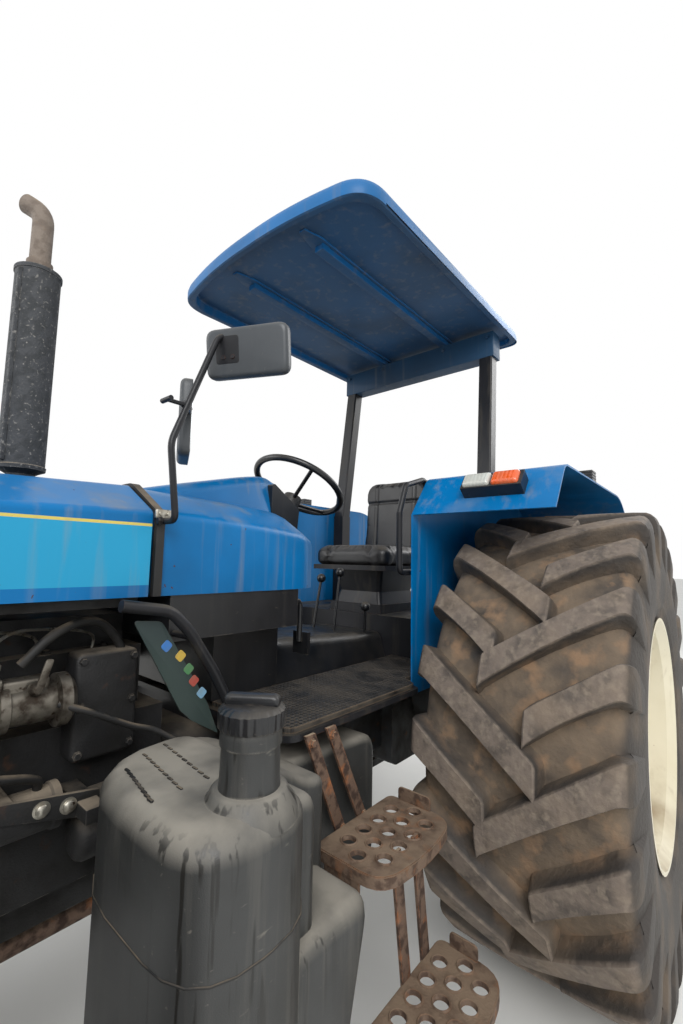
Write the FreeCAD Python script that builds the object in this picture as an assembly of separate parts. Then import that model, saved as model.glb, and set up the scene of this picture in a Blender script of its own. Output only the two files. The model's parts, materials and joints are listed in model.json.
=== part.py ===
import FreeCAD, Part
import math
import os

# An open-station farm tractor with driven front axle and a four-post-free canopy on two
# rear posts. Millimetres. X points to the tractor's left, Y to its rear and Z up.
# While it is modelled, Y = 0 is the rear axle and Z = 0 the ground. The finished pieces
# are then shifted along Y so that the middle of the tractor's length is the origin.

V = FreeCAD.Vector

# Wheels
wheelbase = 2440.0
rear_tyre_radius = 790.0
rear_tyre_width = 587.0
rear_wheel_x = 880.0
rear_rim_radius = 408.0
rear_rim_half = 275.0
front_tyre_radius = 632.0
front_tyre_width = 378.0
front_wheel_x = 840.0
front_rim_radius = 318.0
front_rim_half = 175.0
lug_height_rear = 42.0
lug_height_front = 34.0
rim_sheet = 12.0
tyre_rim_gap = 0.0

# Front axle and steering
kingpin_x = 620.0
kingpin_radius = 28.0
steer_arm = 160.0
steer_limit_deg = 38.0
axle_beam_z = 600.0
axle_beam_depth = 130.0
tie_rod_radius = 15.0
tie_rod_z = 500.0
steer_rod_radius = 14.0
steer_rod_z = 566.0
joint_gap = 6.0
shaft_clearance = 0.05

# Engine and driveline
frame_half = 185.0
frame_rail = 40.0
frame_bottom = 720.0
frame_top = 850.0
frame_front_y = -2980.0
engine_front_y = -2010.0
engine_rear_y = -1350.0
engine_half = 190.0
engine_bottom = 650.0
engine_top = 1150.0
clutch_rear_y = -1090.0
gearbox_half = 175.0
gearbox_bottom = 570.0
gearbox_top = 900.0
axle_centre_half = 230.0
axle_centre_rear_y = 270.0
axle_centre_front_y = -320.0
trumpet_radius = 115.0
hub_face_x = 690.0

# Hood and cowl
hood_wall = 8.0
hood_rear_y = -1480.0
hood_low_z = 1292.0
hood_hinge_y = -2890.0
hood_hinge_z = 935.0
hood_pin_radius = 10.0
seam_gap = 8.0
cowl_rear_y = -960.0
muffler_x = -110.0
muffler_y = -1640.0
muffler_radius = 75.0
muffler_low_z = 1610.0
muffler_top_z = 2165.0
exhaust_radius = 36.0
exhaust_top_z = 2405.0

# Operator's station
platform_z = 985.0
platform_half = 560.0
platform_front_y = -1240.0
platform_rear_y = -330.0
mat_thickness = 14.0
fender_inner_x = 500.0
fender_outer_x = 985.0
fender_top_z = 1700.0
fender_front_y = -610.0
fender_rear_y = 760.0
fender_sheet = 6.0
post_side = 70.0
post_foot_x = 461.0
post_head_x = 445.0
post_foot_y = 140.0
post_head_y = 240.0
post_top_z = 2520.0
canopy_half = 547.0
canopy_front_y = -1019.0
canopy_rear_y = 424.0
canopy_low_z = 2560.0
canopy_thickness = 62.0
wheel_ring_radius = 200.0
wheel_ring_tube = 13.0
wheel_centre_y = -690.0
wheel_centre_z = 1685.0
wheel_tilt_deg = 30.0

# Fuel tank and steps
tank_front_y = -1640.0
tank_rear_y = -1370.0
tank_inner_x = 500.0
tank_outer_x = 815.0
tank_low_z = 460.0
tank_top_z = 1000.0

# Rear linkage
link_pivot_y = 150.0
link_pivot_z = 560.0
link_pivot_x = 250.0
link_lift_at = 340.0
link_length = 880.0
link_end_x = 400.0
link_eye_radius = 42.0
link_bore = 28.7
lift_pivot_z = 1075.0
lift_plane_x = 300.0
lift_pin_radius = 12.0
link_rest_deg = -2.0
top_link_y = 345.0
top_link_z = 900.0
top_link_length = 560.0
top_link_bore = 25.4
top_link_rest_deg = 4.0
pto_radius = 17.5
pto_journal_radius = 22.0
pto_relief = 4.0
pto_shoulder = 2.0
pto_z = 640.0
pto_end_y = 400.0
drawbar_z = 440.0
drawbar_end_y = 520.0
drawbar_hole = 33.0


def box(x0, x1, y0, y1, z0, z1):
    """A block between two corners."""
    return Part.makeBox(x1 - x0, y1 - y0, z1 - z0, V(x0, y0, z0))


def rod(start, end, radius):
    """A round bar from one point to another."""
    a = V(*start)
    b = V(*end)
    return Part.makeCylinder(radius, (b - a).Length, a, b - a)


def sleeve(start, end, outer, inner):
    """A round bar with a bore along it."""
    a = V(*start)
    b = V(*end)
    way = (b - a).normalize()
    bore = Part.makeCylinder(inner, (b - a).Length + 2.0, a - way, way)
    return rod(start, end, outer).cut(bore)


def place(u, v, plane, at):
    """A point of an outline drawn on the plane across axis 'x', 'y' or 'z'."""
    if plane == "x":
        return V(at, u, v)
    if plane == "y":
        return V(u, at, v)
    return V(u, v, at)


def rounded(corners, plane, at):
    """A closed wire through corners (u, v, radius), each corner rounded by its radius."""
    edges = []
    count = len(corners)
    starts = []
    ends = []
    middles = []
    for i in range(count):
        here = V(corners[i][0], corners[i][1], 0)
        before = V(corners[i - 1][0], corners[i - 1][1], 0)
        after = V(corners[(i + 1) % count][0], corners[(i + 1) % count][1], 0)
        to_before = (before - here).normalize()
        to_after = (after - here).normalize()
        radius = corners[i][2]
        if radius == 0:
            starts.append(here)
            ends.append(here)
            middles.append(None)
            continue
        half = to_before.getAngle(to_after) / 2.0
        reach = radius / math.tan(half)
        centre = here + (to_before + to_after).normalize() * (radius / math.sin(half))
        starts.append(here + to_before * reach)
        ends.append(here + to_after * reach)
        middles.append(centre + (here - centre).normalize() * radius)
    for i in range(count):
        if middles[i] is not None:
            arc = [place(p.x, p.y, plane, at) for p in (starts[i], middles[i], ends[i])]
            edges.append(Part.Arc(arc[0], arc[1], arc[2]).toShape())
        nxt = (i + 1) % count
        a = place(ends[i].x, ends[i].y, plane, at)
        b = place(starts[nxt].x, starts[nxt].y, plane, at)
        if (b - a).Length > 1e-6:
            edges.append(Part.makeLine(a, b))
    return Part.Wire(edges)


def plate(corners, plane, start, end):
    """A flat piece whose outline lies across an axis, from start to end along it."""
    face = Part.Face(rounded(corners, plane, start))
    return face.extrude(place(0, 0, plane, end - start))


def bent_rod(points, radius, bend):
    """A round bar along a path of straight runs joined by arcs of one bend radius."""
    path = []
    here = V(*points[0])
    for i in range(1, len(points) - 1):
        corner = V(*points[i])
        back = (V(*points[i - 1]) - corner).normalize()
        ahead = (V(*points[i + 1]) - corner).normalize()
        half = back.getAngle(ahead) / 2.0
        reach = bend / math.tan(half)
        centre = corner + (back + ahead).normalize() * (bend / math.sin(half))
        first = corner + back * reach
        middle = centre + (corner - centre).normalize() * bend
        last = corner + ahead * reach
        path.append(Part.makeLine(here, first))
        path.append(Part.Arc(first, middle, last).toShape())
        here = last
    path.append(Part.makeLine(here, V(*points[-1])))
    spine = Part.Wire(path)
    start = V(*points[0])
    section = Part.Wire([Part.makeCircle(radius, start, V(*points[1]) - start)])
    return spine.makePipeShell([section], True, False)


def flipped(shape):
    """The same piece on the tractor's other side."""
    return shape.mirror(V(0, 0, 0), V(1, 0, 0))


def turned_x(shape, degrees, y, z):
    """A piece turned about a line along X."""
    return shape.copy().rotate(V(0, y, z), V(1, 0, 0), degrees)


def join(shapes):
    """Pieces of one solid joined together."""
    whole = shapes[0].fuse(list(shapes[1:]))
    return whole.removeSplitter()


def spun(profile, x, y, z):
    """A ring: a profile of (offset along X, radius) turned about a line along X."""
    points = [V(x + u, y, z + v) for u, v in profile]
    wire = Part.makePolygon(points + [points[0]])
    return Part.Face(wire).revolve(V(x, y, z), V(1, 0, 0), 360)


def tyre(x, y, radius, width, rim_radius, rim_half):
    """A plain tyre ring out to the tips of its lugs."""
    half = width / 2.0
    tread = half - 22.0
    wall = (radius + rim_radius) / 2.0
    bead = rim_radius - 25.0
    profile = [
        (-rim_half + 20.0, bead), (-half, wall - 20.0), (-half, wall + 60.0),
        (-tread, radius - 40.0), (-tread + 60.0, radius), (tread - 60.0, radius),
        (tread, radius - 40.0), (half, wall + 60.0), (half, wall - 20.0),
        (rim_half - 20.0, bead),
    ]
    return spun(profile, x, y, radius)


def rim(x, y, radius, rim_radius, rim_half, disc_x, hub_radius, bore_radius, side):
    """A rim's well and flanges with its dished disc, for a wheel at height radius."""
    bead = rim_radius - 25.0
    profile = [
        (-rim_half, rim_radius), (-rim_half, rim_radius - rim_sheet),
        (-rim_half + 30.0, bead - rim_sheet), (-70.0, bead - 30.0 - rim_sheet),
        (70.0, bead - 30.0 - rim_sheet), (rim_half - 30.0, bead - rim_sheet),
        (rim_half, rim_radius - rim_sheet), (rim_half, rim_radius),
        (rim_half - 20.0, bead), (-rim_half + 20.0, bead),
    ]
    ring = spun(profile, x, y, radius)
    step = side * disc_x
    disc_profile = [
        (step, bore_radius), (step, hub_radius), (step * 0.2, hub_radius + 70.0),
        (step * 0.2, bead - 30.0 - rim_sheet), (step * 0.2 + side * 14.0, bead - 30.0 - rim_sheet),
        (step * 0.2 + side * 14.0, hub_radius + 74.0), (step + side * 14.0, hub_radius + 4.0),
        (step + side * 14.0, bore_radius),
    ]
    disc = spun(disc_profile, x, y, radius)
    return join([ring, disc])


def shell_sections(table, low_z, inset):
    """Cross-sections of the hood or cowl, each made smaller by an inset."""
    wires = []
    for y, half, crease_z, top_half, top_z in table:
        corners = [
            (-half + inset, low_z, 0), (-half + inset, crease_z, 18.0),
            (-top_half, top_z - inset, 45.0), (top_half, top_z - inset, 45.0),
            (half - inset, crease_z, 18.0), (half - inset, low_z, 0),
        ]
        wires.append(rounded(corners, "y", y))
    return wires


# Columns: Y of the section, half width, height of the crease, half width and height of the top
hood_sections = [
    (hood_rear_y, 330.0, 1490.0, 190.0, 1566.0),
    (-2350.0, 325.0, 1466.0, 185.0, 1532.0),
    (-2790.0, 305.0, 1418.0, 172.0, 1478.0),
    (-2950.0, 268.0, 1335.0, 160.0, 1385.0),
]
hood_front_y = hood_sections[-1][0]
nose_low_z = 960.0
cowl_front_y = hood_rear_y + seam_gap + 20.0
cowl_sections = [
    (cowl_front_y, 330.0, 1490.0, 190.0, 1566.0),
    (cowl_rear_y - 30.0, 330.0, 1478.0, 90.0, 1670.0),
    (cowl_rear_y, 326.0, 1474.0, 85.0, 1660.0),
]
grille_half = 150.0
grille_low_z = 1010.0
grille_top_z = 1310.0
lamp_inner_x = 168.0
lamp_outer_x = 244.0
lamp_low_z = 1180.0
lamp_top_z = 1310.0


def hood_shell():
    """The tilting hood: a tapering shell with a nose, open below and behind."""
    outer = Part.makeLoft(shell_sections(hood_sections, nose_low_z, 0.0), True, True)
    inner_table = [list(row) for row in hood_sections]
    inner_table[0][0] += 1.0
    inner_table[-1][0] += hood_wall
    inner = Part.makeLoft(shell_sections(inner_table, nose_low_z - 1.0, hood_wall), True, True)
    shell = outer.cut(inner)
    side_cut = [
        (hood_rear_y + 1.0, nose_low_z - 1.0, 0), (hood_rear_y + 1.0, hood_low_z, 0),
        (-2560.0, hood_low_z, 80.0), (-2700.0, nose_low_z - 1.0, 0),
    ]
    shell = shell.cut(plate(side_cut, "x", -400.0, 400.0))
    notch_half = muffler_radius + 22.0
    shell = shell.cut(box(
        muffler_x - notch_half, muffler_x + notch_half,
        muffler_y - notch_half, hood_rear_y + 1.0, 1440.0, 1700.0,
    ))
    front = hood_front_y - 1.0
    shell = shell.cut(box(-grille_half, grille_half, front, front + 20.0, grille_low_z, grille_top_z))
    for side in (-1, 1):
        edges = sorted((side * lamp_inner_x, side * lamp_outer_x))
        shell = shell.cut(box(edges[0], edges[1], front, front + 20.0, lamp_low_z, lamp_top_z))
    lugs = []
    for side in (-1, 1):
        lug_x = sorted((side * (hood_lug_x - 6.0), side * (hood_lug_x + 6.0)))
        lug = [
            (hood_front_y + 4.0, hood_hinge_z + 30.0, 0), (hood_front_y + 4.0, hood_hinge_z + 90.0, 0),
            (hood_hinge_y + 22.0, hood_hinge_z + 50.0, 10.0), (hood_hinge_y + 22.0, hood_hinge_z - 20.0, 14.0),
            (hood_hinge_y - 20.0, hood_hinge_z - 20.0, 14.0),
        ]
        lugs.append(plate(lug, "x", lug_x[0], lug_x[1]))
    shell = join([shell] + lugs)
    pin_hole = rod((-400, hood_hinge_y, hood_hinge_z), (400, hood_hinge_y, hood_hinge_z),
                   hood_pin_radius + shaft_clearance)
    return shell.cut(pin_hole)


hood_lug_x = 180.0


def hood_grille():
    """The nose grille: a frame with level bars, set in the nose's opening."""
    y0 = hood_front_y + 2.0
    y1 = hood_front_y + hood_wall + 10.0
    pieces = [
        box(-grille_half, -grille_half + 14.0, y0, y1, grille_low_z, grille_top_z),
        box(grille_half - 14.0, grille_half, y0, y1, grille_low_z, grille_top_z),
        box(-grille_half, grille_half, y0, y1, grille_low_z, grille_low_z + 14.0),
        box(-grille_half, grille_half, y0, y1, grille_top_z - 14.0, grille_top_z),
    ]
    bars = 8
    pitch = (grille_top_z - grille_low_z) / bars
    for i in range(1, bars):
        z = grille_low_z + i * pitch
        pieces.append(box(-grille_half, grille_half, y0, y1 - 6.0, z - 5.0, z + 5.0))
    return join(pieces)


def headlamps():
    """Two lamps set in the nose beside the grille."""
    lamps = []
    for side in (-1, 1):
        edges = sorted((side * lamp_inner_x, side * lamp_outer_x))
        lamps.append(box(edges[0], edges[1], hood_front_y - 3.0, hood_front_y + 45.0,
                         lamp_low_z, lamp_top_z))
    return Part.makeCompound(lamps)


def hood_arch():
    """The black band that closes the seam between hood and cowl."""
    y0 = hood_rear_y + seam_gap
    grown = []
    for y in (y0, cowl_front_y):
        row = list(cowl_sections[0])
        row[0] = y
        grown.append(row)
    outer = Part.makeLoft(shell_sections(grown, hood_low_z, -7.0), True, True)
    grown[0][0] -= 1.0
    grown[1][0] += 1.0
    inner = Part.makeLoft(shell_sections(grown, hood_low_z - 1.0, hood_wall), True, True)
    return outer.cut(inner)


def cowl():
    """The fixed cowl behind the hood, with a crown that rises to the instruments."""
    outer = Part.makeLoft(shell_sections(cowl_sections, hood_low_z, 0.0), True, True)
    inner_table = [list(row) for row in cowl_sections]
    inner_table[0][0] -= 1.0
    inner_table[-1][0] -= hood_wall
    inner = Part.makeLoft(shell_sections(inner_table, hood_low_z - 1.0, hood_wall), True, True)
    return outer.cut(inner)


def firewall_cover():
    """The black panel that closes the cowl below, down to the platform."""
    upper = box(-cover_half, cover_half, -1420.0, -990.0, 1180.0, hood_low_z)
    lower = box(-235.0, 235.0, -1230.0, -990.0, platform_z, 1200.0)
    return join([upper, lower])


cover_half = 324.0


def dash_panel():
    """The instrument panel behind the cowl, sloped towards the operator."""
    profile = [
        (cowl_rear_y, 1330.0, 0), (cowl_rear_y, 1655.0, 10.0),
        (-826.0, 1568.0, 18.0), (-850.0, 1330.0, 20.0),
    ]
    panel = plate(profile, "x", -150.0, 150.0)
    return panel.cut(rod(column_foot, column_head, column_radius))


wheel_axis = (0.0, math.sin(math.radians(wheel_tilt_deg)), math.cos(math.radians(wheel_tilt_deg)))
hub_drop = 80.0
column_radius = 28.0
column_length = 300.0


def along_column(distance):
    """A point on the steering column's line, measured down from the ring's centre."""
    return (
        0.0, wheel_centre_y - wheel_axis[1] * distance, wheel_centre_z - wheel_axis[2] * distance,
    )


column_head = along_column(hub_drop + 24.0 + joint_gap)
column_foot = along_column(hub_drop + 24.0 + column_length)
steer_shaft_radius = 11.0


def steering_column():
    """The column that carries the steering wheel's shaft."""
    tube = rod(column_foot, column_head, column_radius)
    bore_end = along_column(hub_drop + 150.0)
    return tube.cut(rod(bore_end, along_column(0.0), steer_shaft_radius + shaft_clearance))


def steering_wheel():
    """The ring, its three spokes, and the dished hub with its shaft."""
    ring = Part.makeTorus(wheel_ring_radius - wheel_ring_tube, wheel_ring_tube)
    hub = Part.makeCylinder(38.0, 48.0, V(0, 0, -hub_drop - 24.0))
    pieces = [ring, hub]
    for degrees in (90.0, 210.0, 330.0):
        c = math.cos(math.radians(degrees))
        s = math.sin(math.radians(degrees))
        reach = wheel_ring_radius - wheel_ring_tube
        pieces.append(rod((26.0 * c, 26.0 * s, -hub_drop + 8.0), (reach * c, reach * s, 0), 8.0))
    pieces.append(Part.makeCylinder(steer_shaft_radius, 120.0, V(0, 0, -hub_drop - 140.0)))
    wheel = join(pieces)
    wheel = wheel.copy().rotate(V(0, 0, 0), V(1, 0, 0), -wheel_tilt_deg)
    return wheel.translate(V(0, wheel_centre_y, wheel_centre_z))


def front_frame():
    """The cast frame ahead of the engine: rails, end plate, axle saddles and hinge ears."""
    pieces = []
    for side in (-1, 1):
        x = sorted((side * frame_half, side * (frame_half - frame_rail)))
        pieces.append(box(x[0], x[1], frame_front_y, engine_front_y, frame_bottom, frame_top))
        ear_x = sorted((side * (hood_lug_x - 6.0 - joint_gap), side * (hood_lug_x - 22.0 - joint_gap)))
        ear = [
            (hood_hinge_y - 24.0, frame_top - 2.0, 0), (hood_hinge_y - 16.0, hood_hinge_z + 20.0, 12.0),
            (hood_hinge_y + 16.0, hood_hinge_z + 20.0, 12.0), (hood_hinge_y + 40.0, frame_top - 2.0, 0),
        ]
        pieces.append(plate(ear, "x", ear_x[0], ear_x[1]))
        pin_end = side * (hood_lug_x + 14.0)
        pieces.append(rod((side * (hood_lug_x - 14.0 - joint_gap), hood_hinge_y, hood_hinge_z),
                          (pin_end, hood_hinge_y, hood_hinge_z), hood_pin_radius))
    inner = frame_half - 1.0
    pieces.append(box(-inner, inner, frame_front_y, frame_front_y + 34.0, frame_bottom, frame_top))
    pieces.append(box(-inner, inner, -2740.0, engine_front_y, frame_top - 24.0, frame_top))
    for y in (-wheelbase - saddle_out, -wheelbase + saddle_out - saddle_wall):
        saddle = [
            (-150.0, frame_bottom + 20.0, 0), (-60.0, axle_beam_z - 60.0, 40.0),
            (60.0, axle_beam_z - 60.0, 40.0), (150.0, frame_bottom + 20.0, 0),
        ]
        pieces.append(plate(saddle, "y", y, y + saddle_wall))
    pieces.append(box(-weight_bar_half, weight_bar_half, frame_front_y - 70.0, frame_front_y + 2.0,
                      weight_bar_z - 25.0, weight_bar_z + 25.0))
    frame = join(pieces)
    trunnion = rod((0, -wheelbase - 300.0, axle_beam_z), (0, -wheelbase + 300.0, axle_beam_z),
                   trunnion_radius + shaft_clearance)
    return frame.cut(trunnion)


saddle_out = 150.0
saddle_wall = 34.0
trunnion_radius = 40.0
weight_bar_half = 226.0
weight_bar_z = 790.0
weight_count = 6
weight_thickness = 68.0
weight_gap = 6.0
weight_front_y = frame_front_y - 150.0


def front_weights():
    """Hanging weights on the bar at the frame's front."""
    weights = []
    pitch = weight_thickness + weight_gap
    first = -pitch * (weight_count - 1) / 2.0 - weight_thickness / 2.0
    back_y = frame_front_y - joint_gap
    bar_y = frame_front_y - 70.0
    outline = [
        (back_y, 590.0, 30.0), (weight_front_y, 610.0, 40.0), (weight_front_y, 840.0, 30.0),
        (back_y, 846.0, 10.0), (back_y, weight_bar_z + 25.0, 0), (bar_y, weight_bar_z + 25.0, 0),
        (bar_y, weight_bar_z - 25.0, 0), (back_y, weight_bar_z - 25.0, 0),
    ]
    for i in range(weight_count):
        x = first + i * pitch
        weights.append(plate(outline, "x", x, x + weight_thickness))
    return Part.makeCompound(weights)


def front_axle_beam():
    """The driven front axle's beam with its gear housing, end bosses and trunnions."""
    low = axle_beam_z - axle_beam_depth / 2.0 + 5.0
    top = axle_beam_z + axle_beam_depth / 2.0 - 5.0
    arm = [
        (-kingpin_x, low, 0), (-180.0, low + 12.0, 0), (180.0, low + 12.0, 0), (kingpin_x, low, 0),
        (kingpin_x, top, 0), (180.0, top, 0), (-180.0, top, 0), (-kingpin_x, top, 0),
    ]
    pieces = [plate(arm, "y", -wheelbase - 52.0, -wheelbase + 52.0)]
    pieces.append(rod((-60.0, -wheelbase, axle_beam_z), (170.0, -wheelbase, axle_beam_z), 108.0))
    pieces.append(rod((0, -wheelbase - saddle_out - 10.0, axle_beam_z),
                      (0, -wheelbase + saddle_out + 10.0, axle_beam_z), trunnion_radius))
    for side in (-1, 1):
        pieces.append(rod((side * kingpin_x, -wheelbase, low), (side * kingpin_x, -wheelbase, top), 55.0))
    beam = join(pieces)
    for side in (-1, 1):
        beam = beam.cut(rod((side * kingpin_x, -wheelbase, low - 10.0),
                            (side * kingpin_x, -wheelbase, top + 10.0), kingpin_radius + shaft_clearance))
    return beam


knuckle_plate = 34.0
spindle_radius = 38.0
front_hub_x = 760.0
arm_top_z = axle_beam_z - axle_beam_depth / 2.0 - 1.0
arm_low_z = arm_top_z - 30.0
steer_pin_radius = 9.0


def knuckle(side):
    """A steering knuckle: kingpin, fork, spindle and its arm to the tie rod."""
    x = side * kingpin_x
    low = axle_beam_z - axle_beam_depth / 2.0 + 5.0 - joint_gap
    top = axle_beam_z + axle_beam_depth / 2.0 - 5.0 + joint_gap
    wall_in = 78.0
    wall_out = 112.0
    outline = [
        (x - side * 58.0, -wheelbase - 58.0, 40.0), (x - side * 58.0, -wheelbase + 58.0, 40.0),
        (x + side * wall_out, -wheelbase + 58.0, 10.0), (x + side * wall_out, -wheelbase - 58.0, 10.0),
    ]
    walls = sorted((x + side * wall_in, x + side * wall_out))
    pieces = [
        plate(outline, "z", low - knuckle_plate, low),
        plate(outline, "z", top, top + knuckle_plate),
        box(walls[0], walls[1], -wheelbase - 58.0, -wheelbase + 58.0, low - knuckle_plate, top + knuckle_plate),
        rod((x, -wheelbase, low - knuckle_plate), (x, -wheelbase, top + knuckle_plate), kingpin_radius),
        rod((x + side * 100.0, -wheelbase, front_tyre_radius),
            (side * (front_hub_x + 60.0), -wheelbase, front_tyre_radius), spindle_radius),
    ]
    arm = [
        (x - 30.0, -wheelbase + 30.0, 0), (x - 24.0, -wheelbase + steer_arm + 24.0, 23.0),
        (x + 24.0, -wheelbase + steer_arm + 24.0, 23.0), (x + 30.0, -wheelbase + 30.0, 0),
    ]
    pieces.append(plate(arm, "z", arm_low_z, arm_top_z))
    body = join(pieces)
    pin = rod((x, -wheelbase + steer_arm, arm_low_z - 5.0), (x, -wheelbase + steer_arm, arm_top_z + 5.0),
              steer_pin_radius + shaft_clearance)
    return body.cut(pin)


def tie_rod():
    """The bar that joins both steering arms, with its two studs."""
    y = -wheelbase + steer_arm
    eye_top = arm_low_z - joint_gap
    z = eye_top - 20.0
    pieces = [rod((-kingpin_x, y, z), (kingpin_x, y, z), tie_rod_radius)]
    for side in (-1, 1):
        x = side * kingpin_x
        pieces.append(rod((x, y, eye_top - 40.0), (x, y, eye_top), 24.0))
        pieces.append(rod((x, y, eye_top - 2.0), (x, y, arm_top_z), steer_pin_radius))
    return join(pieces)


steer_barrel_in = 150.0
steer_barrel_out = 400.0


def steer_line_z():
    """Height of the steering cylinder's line, above the steering arm."""
    return arm_top_z + joint_gap + 16.0


def steer_cylinder():
    """The steering cylinder's barrel, bolted behind the axle beam by two feet."""
    y = -wheelbase + steer_arm
    z = steer_line_z()
    barrel = rod((steer_barrel_in, y, z), (steer_barrel_out, y, z), 32.0)
    feet = []
    for x in (steer_barrel_in + 20.0, steer_barrel_out - 50.0):
        feet.append(box(x, x + 30.0, -wheelbase + 52.0, y, z - 16.0, z + 28.0))
    body = join([barrel] + feet)
    return body.cut(rod((steer_barrel_in + 20.0, y, z), (steer_barrel_out + 5.0, y, z),
                        steer_rod_radius + shaft_clearance))


def steer_rod():
    """The steering cylinder's rod with its eye over the left arm's pin."""
    y = -wheelbase + steer_arm
    z = steer_line_z()
    bar = rod((steer_barrel_out - 120.0, y, z), (kingpin_x - 10.0, y, z), steer_rod_radius)
    eye = rod((kingpin_x, y, z - 16.0), (kingpin_x, y, z + 16.0), 24.0)
    return join([bar, eye])


def front_hub(side):
    """The front wheel's hub, turning on the knuckle's spindle."""
    x = side * front_hub_x
    start = side * (kingpin_x + 112.0 + joint_gap)
    pieces = [
        rod((start, -wheelbase, front_tyre_radius), (x, -wheelbase, front_tyre_radius), 88.0),
        rod((x - side * 16.0, -wheelbase, front_tyre_radius), (x, -wheelbase, front_tyre_radius), 150.0),
        rod((x, -wheelbase, front_tyre_radius), (x + side * 100.0, -wheelbase, front_tyre_radius), 84.0),
    ]
    hub = join(pieces)
    return hub.cut(rod((start - side * 5.0, -wheelbase, front_tyre_radius),
                       (x + side * 64.0, -wheelbase, front_tyre_radius), spindle_radius + shaft_clearance))


def front_rim(side):
    """The front wheel's rim, bolted to its hub."""
    return rim(side * front_wheel_x, -wheelbase, front_tyre_radius, front_rim_radius,
               front_rim_half, front_hub_x - front_wheel_x, 140.0, 80.0, side)


def engine_block():
    """The engine: block, cylinder head and valve cover as one plain casting."""
    pieces = [
        box(-engine_half, engine_half, engine_front_y, engine_rear_y, engine_bottom, 1000.0),
        box(-130.0, 130.0, engine_front_y + 20.0, engine_rear_y - 40.0, 990.0, engine_top),
        box(-80.0, 80.0, engine_front_y + 50.0, engine_rear_y - 70.0, engine_top - 10.0, engine_top + 80.0),
    ]
    return join(pieces)


def oil_sump():
    """The sump under the engine."""
    profile = [
        (engine_front_y + 30.0, engine_bottom, 0), (engine_front_y + 60.0, 570.0, 30.0),
        (engine_rear_y - 40.0, 570.0, 30.0), (engine_rear_y - 10.0, engine_bottom, 0),
    ]
    return plate(profile, "x", -150.0, 150.0)


def injection_pump():
    """The fuel injection pump on the engine's left side."""
    x0 = engine_half
    pieces = [
        box(x0, x0 + 110.0, -1900.0, -1620.0, 1010.0, 1100.0),
        box(x0, x0 + 90.0, -1900.0, -1640.0, 930.0, 1015.0),
    ]
    return join(pieces)


def starter_motor():
    """The starter motor beside the clutch housing."""
    y0 = engine_rear_y - 260.0
    x = engine_half + 62.0
    can = rod((x, y0, 780.0), (x, engine_rear_y, 780.0), 56.0)
    foot = box(engine_half, x, engine_rear_y - 60.0, engine_rear_y - 20.0, 740.0, 820.0)
    return join([can, foot])


def radiator():
    """The radiator and its shroud, standing on the front frame."""
    core = box(-255.0, 255.0, -2590.0, -2510.0, frame_top, 1400.0)
    shroud = box(-235.0, 235.0, -2510.0, -2430.0, frame_top + 40.0, 1370.0)
    hole = rod((0, -2520.0, 1110.0), (0, -2400.0, 1110.0), 205.0)
    return join([core, shroud.cut(hole)])


def clutch_housing():
    """The bell housing between engine and gearbox."""
    front = rounded([
        (-gearbox_half, gearbox_bottom + 30.0, 40.0), (gearbox_half, gearbox_bottom + 30.0, 40.0),
        (gearbox_half, gearbox_top, 60.0), (-gearbox_half, gearbox_top, 60.0)], "y", engine_rear_y)
    back = rounded([
        (-gearbox_half, gearbox_bottom, 40.0), (gearbox_half, gearbox_bottom, 40.0),
        (gearbox_half, gearbox_top, 60.0), (-gearbox_half, gearbox_top, 60.0)], "y", clutch_rear_y)
    return Part.makeLoft([front, back], True, True)


def gearbox():
    """The gearbox between clutch housing and rear axle."""
    outline = [
        (-gearbox_half, gearbox_bottom, 40.0), (gearbox_half, gearbox_bottom, 40.0),
        (gearbox_half, gearbox_top, 60.0), (-gearbox_half, gearbox_top, 60.0),
    ]
    case = plate(outline, "y", clutch_rear_y, axle_centre_front_y)
    drop_box = box(guard_x - 45.0, guard_x + 45.0, clutch_rear_y, clutch_rear_y + 140.0,
                   guard_z - 45.0, gearbox_bottom + 5.0)
    return join([case, drop_box])


def rear_axle():
    """The rear axle's centre housing with its two axle trumpets and linkage pins."""
    centre = plate([
        (axle_centre_front_y, 520.0, 40.0), (axle_centre_rear_y, 520.0, 50.0),
        (axle_centre_rear_y, 990.0, 60.0), (axle_centre_front_y, 990.0, 60.0),
    ], "x", -axle_centre_half, axle_centre_half)
    pieces = [centre]
    for side in (-1, 1):
        profile = [(0.0, 0.0), (0.0, 165.0), (side * 70.0, 150.0), (side * 150.0, trumpet_radius),
                   (side * (hub_face_x - 20.0 - axle_centre_half), trumpet_radius),
                   (side * (hub_face_x - 20.0 - axle_centre_half), 0.0)]
        pieces.append(spun(profile, side * (axle_centre_half - 5.0), 0.0, rear_tyre_radius))
        pieces.append(rod((side * (axle_centre_half - 4.0), link_pivot_y, link_pivot_z),
                          (side * (link_pivot_x + 32.0), link_pivot_y, link_pivot_z), 14.0))
        ear = [
            (axle_centre_rear_y - 4.0, top_link_z - 50.0, 0), (top_link_y + 26.0, top_link_z - 26.0, 25.0),
            (top_link_y + 26.0, top_link_z + 26.0, 25.0), (axle_centre_rear_y - 4.0, top_link_z + 50.0, 0),
        ]
        x = sorted((side * 20.0, side * 36.0))
        pieces.append(plate(ear, "x", x[0], x[1]))
    pieces.append(rod((-44.0, top_link_y, top_link_z), (44.0, top_link_y, top_link_z), top_link_bore / 2.0))
    body = join(pieces)
    for side in (-1, 1):
        body = body.cut(rod((side * 560.0, 0, rear_tyre_radius), (side * 700.0, 0, rear_tyre_radius),
                            axle_shaft_radius + shaft_clearance))
    pto_bore = rod((0, 150.0, pto_z), (0, 300.0, pto_z), pto_journal_radius + shaft_clearance)
    return body.cut(pto_bore)


axle_shaft_radius = 48.0


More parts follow.
